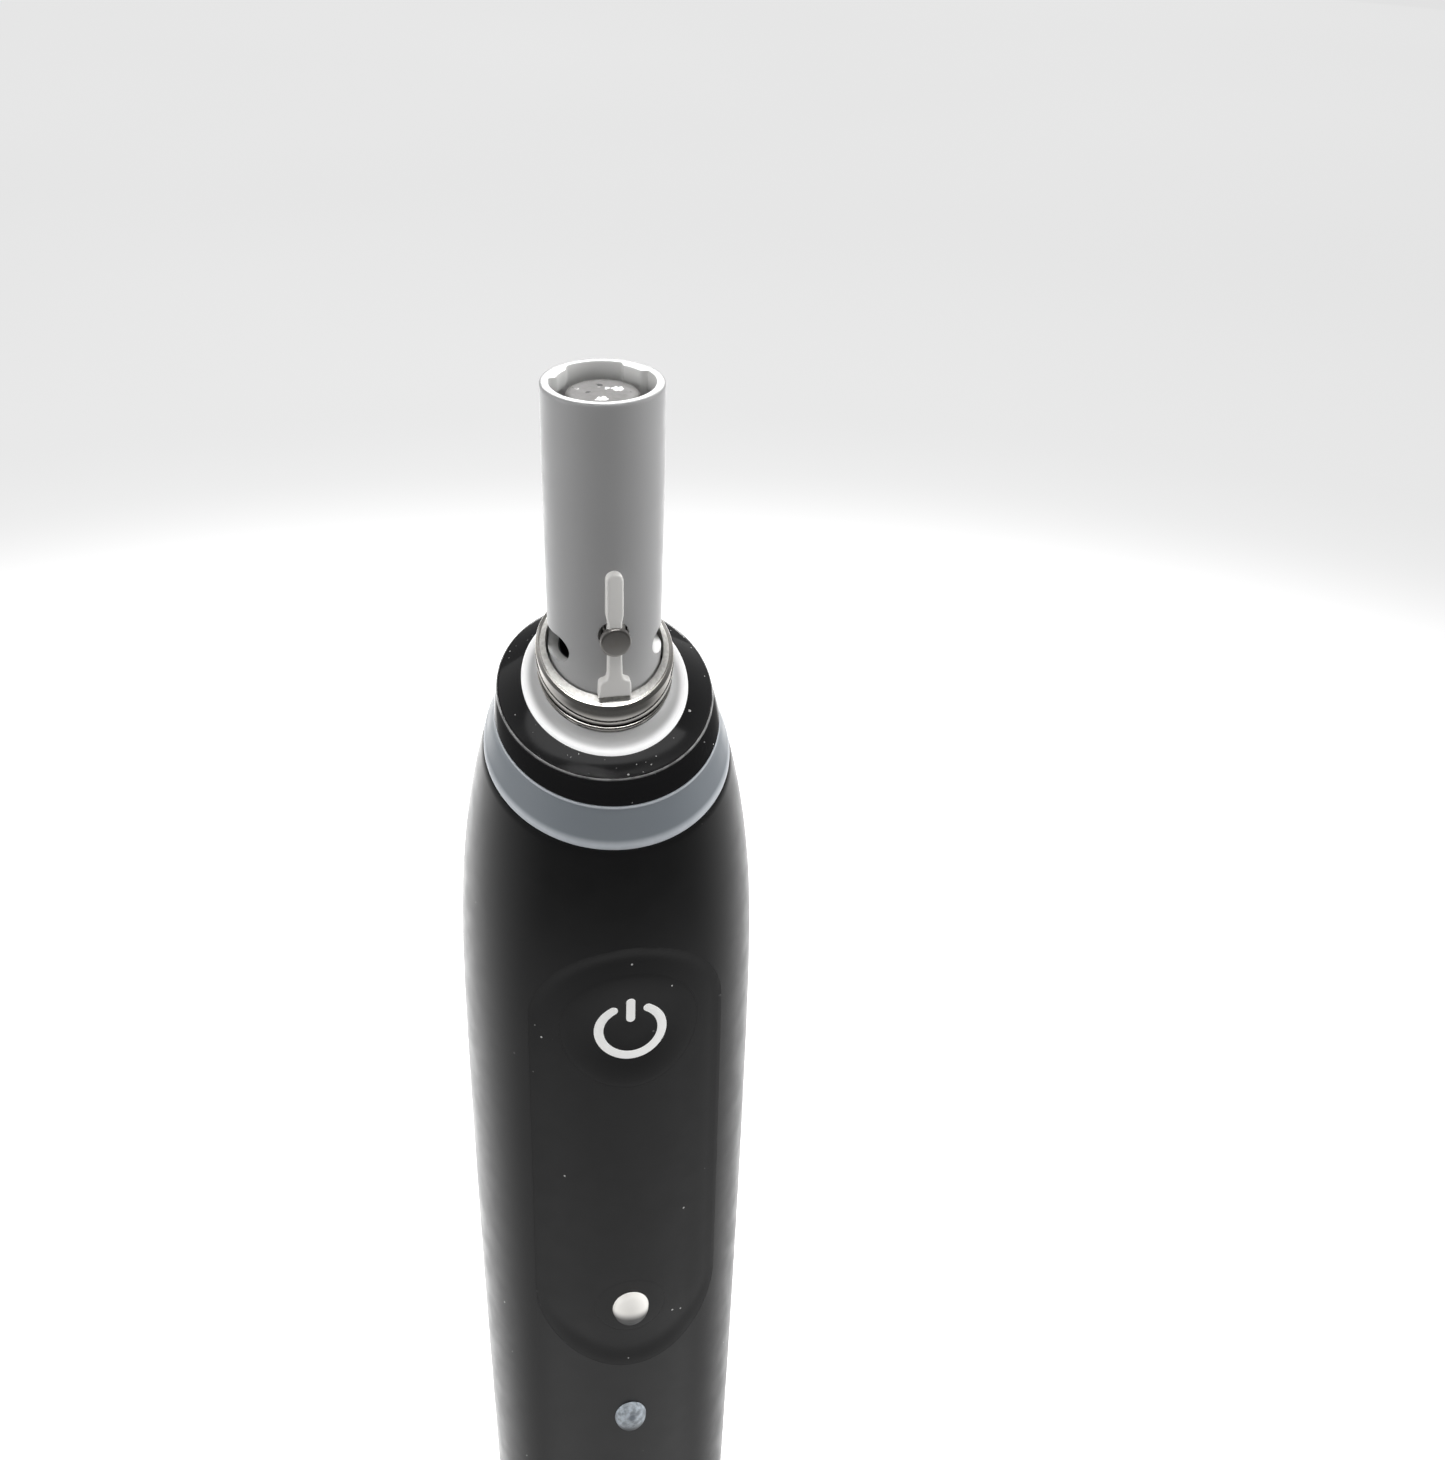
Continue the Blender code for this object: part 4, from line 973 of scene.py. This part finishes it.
def stroke(name, route, half, sink=0.3 * MM, raised=0.02 * MM):
    """A round-ended line of the icon, laid on the panel's face along a route of X and Z points."""
    across = 5
    stations = []
    lengths = [0.0]
    for a, b in zip(route, route[1:]):
        lengths.append(lengths[-1] + math.dist(a, b))
    total = lengths[-1]

    def at(distance):
        distance = min(total, max(0.0, distance))
        for k in range(len(route) - 1):
            if distance <= lengths[k + 1] or k == len(route) - 2:
                share = (distance - lengths[k]) / (lengths[k + 1] - lengths[k])
                a = Vector(route[k])
                b = Vector(route[k + 1])
                return a.lerp(b, share), (b - a).normalized()

    caps = 7
    for k in range(caps):
        angle = math.radians(90 * (k + 0.35) / caps)
        stations.append((-half * math.cos(angle), half * math.sin(angle)))
    count = max(2, int(total / (0.18 * MM)))
    stations += [(total * k / count, half) for k in range(count + 1)]
    for k in reversed(range(caps)):
        angle = math.radians(90 * (k + 0.35) / caps)
        stations.append((total + half * math.cos(angle), half * math.sin(angle)))

    def place(i, j):
        distance, width = stations[i]
        middle, ahead = at(distance)
        middle = middle + ahead * (min(0.0, distance) + max(0.0, distance - total))
        side = Vector((-ahead.y, ahead.x))
        if j < across:
            share = -1 + 2 * j / (across - 1)
            point = middle + side * width * share
            lift = raised * (1 - share ** 4)
            return panel_face(point.x, point.y, lift)
        share = 1 if j == across else -1
        point = middle + side * width * share
        return panel_face(point.x, point.y, -sink)

    mesh = grid(name, len(stations), across + 2, place, close_rows=False)
    close_ends(mesh, len(stations), across + 2)
    return face_outwards(mesh)


def make_power_icon(finish):
    """The generic power symbol: a broken ring, slightly wider than tall, and a bar, inlaid in the key."""
    half = ICON_STROKE / 2
    ring = [(x, POWER_Z + 0.95 * z) for x, z in arc((0, 0), ICON_RADIUS, 90 + 33, 450 - 33, 48)]
    ring_mesh = stroke("power_icon_ring", ring, half)
    line = [(0, POWER_Z + 1.36 * MM), (0, POWER_Z + 3.30 * MM)]
    bar_mesh = stroke("power_icon_bar", line, half * 0.96)
    piece("power_icon_ring", ring_mesh, "power_key", finish, ["power_light_guide"], angle=60)
    piece("power_icon_bar", bar_mesh, "power_key", finish, ["power_light_guide"], angle=60)


def make_bead(name, radius, tall, height, rise, surface, body, finish, replaced):
    """A small domed lens, slightly taller than it is wide, standing out of a surface."""
    rings = 14
    turns = 64

    def place(i, j):
        turn = 2 * math.pi * j / turns
        if i > rings:
            share = 1.0
            lift = -0.5 * MM
        else:
            share = max(i, 0.02) / rings
            lift = rise * (1 - share ** 2) ** 0.5
        x = radius * share * math.cos(turn)
        z = height + tall * share * math.sin(turn)
        return Vector((x, surface(x, z) - lift, z))

    mesh = grid(name, rings + 2, turns, place, close_rows=False)
    close_ends(mesh, rings + 2, turns)
    return piece(name, face_outwards(mesh), body, finish, [replaced], angle=60)


# ---------------------------------------------------------------- drive unit

def make_sleeve(finish):
    """The open grey sleeve: rolled rim, inner lands at the back, side windows and the pin's hole."""
    turns = 180
    top = SLEEVE_TOP
    step = RING_Z + 23.7 * MM
    foot = RING_Z + 4.0 * MM
    mouth = top - 4.5 * MM

    def bore(turn, height):
        """The bore, with two lands inside the rim at the back."""
        from_back = math.degrees(turn) - 180
        left = smoothstep((-30 - from_back) / 6) * smoothstep((68 + from_back) / 5)
        right = smoothstep((from_back - 30) / 14) * smoothstep((74 - from_back) / 5)
        depth = smoothstep((height - mouth) / (0.4 * MM))
        return SLEEVE_BORE - (SLEEVE_BORE - SLEEVE_LAND) * max(left, right) * depth

    def straight(radius):
        return lambda turn, height: radius

    rows = [(straight(SLEEVE_RADIUS - inset * MM), top - drop * MM)
            for inset, drop in ((0.22, 0.0), (0.08, 0.05), (0.01, 0.16))]
    for k in range(9):
        share = k / 8
        height = blend_value(top - 0.4 * MM, step + 0.5 * MM, share)
        rows.append((straight(SLEEVE_RADIUS - 0.055 * MM * share), height))
    rows.append((straight(SLEEVE_RADIUS - 0.065 * MM), step + 0.3 * MM))
    rows.append((straight(SLEEVE_RADIUS - 0.09 * MM), step))
    for k in range(1, 15):
        share = k / 14
        height = blend_value(step, RING_Z + 8 * MM, share)
        rows.append((straight(SLEEVE_RADIUS - (0.09 + 0.20 * share) * MM), height))
    wall = 1.3 * MM
    rows += [(straight(5.02 * MM), foot), (straight(SLEEVE_RADIUS - wall), foot),
             (straight(SLEEVE_RADIUS - wall), RING_Z + 21 * MM), (bore, step), (bore, mouth - 0.3 * MM)]
    for k in range(5):
        rows.append((bore, mouth + 0.4 * MM * k / 4))
    rows += [(bore, top - 2.0 * MM), (bore, top - 0.22 * MM),
             (lambda turn, height: bore(turn, height) + 0.10 * MM, top - 0.03 * MM)]

    def place(i, j):
        turn = 2 * math.pi * j / turns
        radius, height = rows[i]
        return ring_point(radius(turn, height), height, turn)

    mesh = face_outwards(grid("sleeve_tube", len(rows), turns, place))
    hole = bar(1.38 * MM, (0, -8 * MM, PIN_Z + 0.2 * MM), (0, -3.4 * MM, PIN_Z + 0.2 * MM))
    mesh = carve(mesh, [window_cutter(), hole])
    return piece("sleeve_tube", mesh, "drive_unit", finish, ["drive_sleeve"], angle=50)


def window_cutter():
    """A round-ended slot right across the sleeve, for its two side windows."""
    middle_z = RING_Z + 10.85 * MM
    half = 1.28 * MM
    front = -3.48 * MM
    back = 1.9 * MM
    outline = arc((front + half, middle_z), half, 270, 90, 12)
    outline += arc((back - half, middle_z), half, 90, -90, 12)
    shape = bmesh.new()
    sides = [[shape.verts.new((x, y, z)) for y, z in outline] for x in (-9 * MM, 9 * MM)]
    shape.faces.new(sides[0])
    shape.faces.new(sides[1])
    count = len(outline)
    for k in range(count):
        n = (k + 1) % count
        shape.faces.new((sides[0][k], sides[0][n], sides[1][n], sides[1][k]))
    bmesh.ops.remove_doubles(shape, verts=shape.verts, dist=0.001 * MM)
    bmesh.ops.recalc_face_normals(shape, faces=shape.faces)
    return finished_mesh(shape, "window")


def make_key(finish):
    """The front rib: rounded top, a waist at the pin, and a foot with square shoulders."""
    half = 0.76 * MM
    waist = 0.62 * MM
    foot = 1.42 * MM
    low = KEY_LOW.z + 0.02 * MM  # just over the steel ring
    foot_top = KEY_LOW.z + 1.72 * MM
    corner = 0.5 * MM
    right = [(half, PIN_Z + 3.2 * MM), (half, PIN_Z + 2.4 * MM), (waist, PIN_Z + 1.7 * MM),
             (waist, PIN_Z - 1.9 * MM), (waist + 0.04 * MM, foot_top + 0.5 * MM),
             (waist + 0.14 * MM, foot_top + 0.12 * MM), (waist + 0.30 * MM, foot_top)]
    right += arc((foot - corner, foot_top - corner - 0.04 * MM), corner, 78, 0, 5)
    right += [(foot + 0.03 * MM, low + 0.4 * MM), (foot + 0.05 * MM, low)]
    left = [(-x, z) for x, z in reversed(right)]
    top = arc((0, KEY_HIGH.z - half), half, 180, 0, 14)
    mesh = from_outline("rib_key", left + top + right, -5.92 * MM, -4.7 * MM, bevel=0.2 * MM, segments=4)
    return piece("rib_key", mesh, "drive_unit", finish, ["sleeve_key"], angle=50)


def make_pin(finish):
    """The steel pin's head, with a softened rim and a shallow turned face."""
    radius = 1.36 * MM
    front = -6.28 * MM
    outline = [(0.001 * MM, front), (radius - 0.24 * MM, front), (radius - 0.16 * MM, front + 0.01 * MM),
               (radius - 0.05 * MM, front + 0.06 * MM), (radius, front + 0.16 * MM),
               (radius, front + 0.62 * MM), (radius * 0.5, front + 0.62 * MM), (radius * 0.5, -3.2 * MM),
               (0.001 * MM, -3.2 * MM)]
    turns = 64

    def place(i, j):
        reach, y = outline[i]
        turn = 2 * math.pi * j / turns
        return Vector((reach * math.cos(turn), y, PIN_Z + reach * math.sin(turn)))

    mesh = grid("pin_head", len(outline), turns, place, close_rows=False)
    face_outwards(mesh, 0.004 * MM)
    return piece("pin_head", mesh, "drive_unit", finish, ["key_pin"], angle=50)


def make_tip(finish):
    """The round tip of the drive shaft, with a soft edge and a faint turned ring."""
    radius = TIP_HIGH.x
    top = TIP_HIGH.z + 0.3 * MM
    low = TIP_LOW.z
    outline = [(0.001 * MM, top - 0.06 * MM), (radius * 0.55, top - 0.05 * MM), (radius * 0.62, top),
               (radius - 0.5 * MM, top), (radius - 0.2 * MM, top - 0.05 * MM),
               (radius - 0.05 * MM, top - 0.18 * MM), (radius, top - 0.4 * MM), (radius, low),
               (2.3 * MM, low), (2.3 * MM, top - 3.0 * MM), (0.001 * MM, top - 3.0 * MM)]
    turns = 96
    mesh = grid("drive_tip_face", len(outline), turns,
                lambda i, j: ring_point(*outline[i], 2 * math.pi * j / turns), close_rows=False)
    face_outwards(mesh, 0.004 * MM)
    return piece("drive_tip_face", mesh, "mover", finish, ["drive_tip"], angle=50)


# ---------------------------------------------------------------- charging base

def make_base_housing(finish):
    """The low pale grey dome with its seat and post, and a hole at the back for the cord's gland."""
    high = HOUSING_HIGH.z
    low = HOUSING_LOW.z
    radius = HOUSING_HIGH.x
    seat = high - 11.5 * MM
    rim = seat + 1.2 * MM
    corners = [
        (4.3 * MM, high, 0.9 * MM), (4.3 * MM, seat, 0.35 * MM), (11.9 * MM, seat, 0.3 * MM),
        (12.2 * MM, rim, 0.35 * MM), (14.0 * MM, rim, 0.9 * MM), (22.0 * MM, 14.1 * MM, 5.0 * MM),
        (28.2 * MM, 11.4 * MM, 4.6 * MM), (radius, 4.6 * MM, 2.6 * MM), (radius, low + 0.6 * MM, 0.5 * MM),
        (radius - 0.5 * MM, low, 0.2 * MM), (28.2 * MM, low, 0.1 * MM), (28.1 * MM, 4.0 * MM, 1.0 * MM),
        (26.2 * MM, 10.2 * MM, 3.0 * MM), (20.5 * MM, 12.4 * MM, 3.0 * MM), (10.0 * MM, 13.2 * MM, 1.0 * MM),
        (3.1 * MM, 13.2 * MM, 0.3 * MM), (3.1 * MM, high - 1.5 * MM, 0.3 * MM),
        (0.001 * MM, high - 1.5 * MM, 0.0), (0.001 * MM, high, 0.0),
    ]
    outline = [(point.x, point.y) for point in rounded(corners, 6)]
    mesh = lathe("base_housing", outline, 144)
    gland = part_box("cord_gland")
    middle = (gland[0].z + gland[1].z) / 2
    hole = bar(2.75 * MM, (0, 24 * MM, middle), (0, 34 * MM, middle))
    mesh = carve(mesh, [hole])
    return piece("base_housing", mesh, "charger", finish, ["charger_housing"], angle=45)


# ---------------------------------------------------------------- stage

def stage_piece(mesh, look, *unseen_by):
    """Adds a piece of the stage, kept out of some kinds of ray."""
    mesh.materials.append(look.material)
    made = link_object(mesh.name, mesh)
    for ray in unseen_by:
        setattr(made, "visible_" + ray, False)


def stage_look(name, rough, size, low, high):
    """A matt grey finish for the stage, between two tones."""
    look = Finish(name, Roughness=rough, Specular_IOR_Level=0.0)
    look.use("Base Color", look.mix(look.noise(size), (low, low, low), (high, high, high)))
    return look


def make_floor():
    """A pale floor whose glow is a painted pool of light, brightest round the object."""
    look = Finish("pale_floor", Roughness=0.8, Specular_IOR_Level=0.0)
    cloud = look.noise(0.35, 2.0)
    away = look.length(look.place)
    near = look.mix(cloud, (0.60, 0.60, 0.60), (0.64, 0.64, 0.64))
    far = look.mix(cloud, (0.01, 0.01, 0.01), (0.02, 0.02, 0.02))
    look.use("Base Color", look.mix(look.ramp(away, 0.12, 0.45), near, far))
    # Painted pool of light: the glow is weaker right by the object, where the floor's paler colour takes the
    # real light, and fades beyond 0.3 m.
    middle = look.ramp(away, 0.1, 0.3, 0.37, 1.0)
    outer = look.ramp(away, 0.30, 0.50, 1.0, OUTER_GLOW)
    edge = look.ramp(away, 0.46, 0.75, 1.0, FAR_GLOW / OUTER_GLOW)
    look.glow(look.math("MULTIPLY", middle, look.math("MULTIPLY", outer, edge)))
    mesh = bpy.data.meshes.new("floor")
    size = 5.0
    corners = [(-size, -size, 0), (size, -size, 0), (size, size, 0), (-size, size, 0)]
    mesh.from_pydata(corners, [], [(0, 1, 2, 3)])
    stage_piece(mesh, look)


def make_backdrop():
    """A dome of the far floor's tone, which only the camera sees."""
    look = stage_look("pale_backdrop", 0.9, 0.5, 0.01, 0.02)
    look.glow(FAR_GLOW)
    reach = 4.5
    columns = 48
    rows = 24

    def place(i, j):
        rise = math.radians(-4 + 93.9 * i / (rows - 1))
        return ring_point(reach * math.cos(rise), reach * math.sin(rise), 2 * math.pi * j / columns)

    mesh = grid("backdrop", rows, columns, place, close_rows=False)
    stage_piece(mesh, look, "diffuse", "glossy", "transmission", "shadow")


def make_room_wall():
    """A dim wall out of the camera's sight: nearly black in front, and brighter round to the sides."""
    look = stage_look("wall_cloth", 0.9, 0.05, 0.03, 0.05)
    look.glow(growing_backwards(look, WALL_SIDE_GLOW, 1.9))
    reach = 0.8
    columns = 60
    rows = 24

    def place(i, j):
        rise = math.radians(-12 + 90 * i / (rows - 1))
        turn = math.radians(-142 + 284 * j / (columns - 1))
        return ring_point(reach * math.cos(rise), RING_Z + reach * math.sin(rise), turn)

    mesh = grid("room_wall", rows, columns, place, close_rows=False, close_columns=False)
    stage_piece(mesh, look, "camera")


def how_far_back(look):
    """From -1 straight in front of the axis to 1 straight behind it."""
    return look.math("DIVIDE", look.axes()[1], axis_distance(look))


def growing_backwards(look, side, rate):
    """A brightness that is side beside the object, less in front of it and more behind it."""
    growth = look.math("EXPONENT", look.math("MULTIPLY", how_far_back(look), rate))
    return look.math("MULTIPLY", growth, side)


def make_table_card():
    """A glowing card just over the table, which only the object sees: dim in front and bright behind."""
    look = stage_look("table_card", 0.9, 0.05, 0.02, 0.04)
    in_front = look.ramp(how_far_back(look), -0.6, -0.1, 1.0, 0.0)
    shadow = look.ramp(axis_distance(look), 0.06, 0.40, CARD_FRONT_GLOW, 0.05)
    open_glow = growing_backwards(look, CARD_SIDE_GLOW, 1.75)
    look.glow(look.math("ADD", look.math("MULTIPLY", in_front, shadow),
                        look.math("MULTIPLY", look.math("SUBTRACT", 1.0, in_front), open_glow)))
    columns = 48
    rows = 13

    def place(i, j):
        reach = 0.035 + 1.2 * (i / (rows - 1)) ** 1.5
        return ring_point(reach, 0.001, 2 * math.pi * j / columns)

    mesh = grid("table_card", rows, columns, place, close_rows=False)
    stage_piece(mesh, look, "camera", "shadow")


def area_light(name, place, target, size, power, reflected=True):
    light = bpy.data.lights.new(name, "AREA")
    light.shape = "RECTANGLE"
    light.size, light.size_y = size
    light.energy = power
    made = bpy.data.objects.new(name, light)
    made.location = place
    made.rotation_euler = (Vector(target) - Vector(place)).to_track_quat("-Z", "Y").to_euler()
    made.visible_glossy = reflected
    bpy.context.scene.collection.objects.link(made)


def make_lights():
    target = (0, 0, RING_Z)
    area_light("back_window", (0.3, 1.25, 0.98), target, (1.1, 0.55), 30)
    area_light("ceiling", (0, -0.13, RING_Z + 0.7), target, (0.6, 0.34), 0.6)
    area_light("ceiling_edge", (0, -0.22, RING_Z + 0.7), target, (0.5, 0.10), 1.7)
    area_light("front_fill", (0, -0.7, RING_Z + 0.12), target, (0.5, 0.3), 0.36, reflected=False)
    area_light("left_fill", (-0.69, -0.12, RING_Z + 0.1), target, (0.4, 0.4), 2.9, reflected=False)
    area_light("right_fill", (0.69, -0.12, RING_Z + 0.1), target, (0.4, 0.4), 4.6, reflected=False)
    world = bpy.data.worlds.new("studio")
    world.use_nodes = True
    background = world.node_tree.nodes["Background"]
    background.inputs["Color"].default_value = (1, 1, 1, 1)
    background.inputs["Strength"].default_value = 0.22
    bpy.context.scene.world = world
    bpy.context.scene.view_settings.view_transform = "Standard"


def make_camera():
    """The main view: from the front and above, a little to the left, with a slight roll."""
    pitch = math.radians(30.96)
    heading = math.radians(12.89)
    roll = math.radians(1.475)
    along = math.cos(pitch)
    ahead = Vector((along * math.sin(heading), along * math.cos(heading), -math.sin(pitch)))
    right = ahead.cross(Vector((0, 0, 1))).normalized()
    up = right.cross(ahead)
    tilted_right = right * math.cos(roll) + up * math.sin(roll)
    tilted_up = up * math.cos(roll) - right * math.sin(roll)
    data = bpy.data.cameras.new("camera")
    data.lens = 51.8
    data.clip_start = 0.01
    camera = bpy.data.objects.new("camera", data)
    bpy.context.scene.collection.objects.link(camera)
    turn = Matrix((tilted_right, tilted_up, -ahead)).transposed()
    place = Vector((-26.44 * MM, -163.91 * MM, RING_Z + 100.30 * MM))
    camera.matrix_world = Matrix.Translation(place) @ turn.to_4x4()
    bpy.context.scene.camera = camera


def main():
    finishes = make_finishes()
    dress_cad_nodes(finishes)
    make_camera()
    make_lights()
    make_floor()
    make_backdrop()
    make_room_wall()
    make_table_card()
    make_body_skin(finishes["casing"])
    make_light_ring(finishes["diffuser"])
    make_neck_cap(finishes["gloss"])
    make_collar(finishes["white"])
    make_steel_ring(finishes["steel"])
    make_panel(finishes["panel"])
    for key, radius, height in (("power", POWER_RADIUS, POWER_Z), ("mode", MODE_RADIUS, MODE_Z)):
        make_key_cap(key + "_key_cap", radius - HAIRLINE, height, finishes["panel"],
                     key + "_key", key + "_button")
    make_power_icon(finishes["icon"])
    make_bead("mode_dot_bead", DOT_RADIUS, DOT_TALL, MODE_Z - 0.35 * MM, DOT_RISE,
              lambda x, z: panel_face(x, z).y, "mode_key", finishes["dot"], "mode_dot_lens")
    make_bead("indicator_bead", INDICATOR_RADIUS, INDICATOR_TALL, INDICATOR_Z - 0.1 * MM, INDICATOR_RISE,
              front_y, "handle", finishes["indicator"], "indicator_lens")
    make_sleeve(finishes["sleeve"])
    make_key(finishes["key"])
    make_pin(finishes["pin"])
    make_tip(finishes["tip"])
    make_base_housing(finishes["base"])


main()
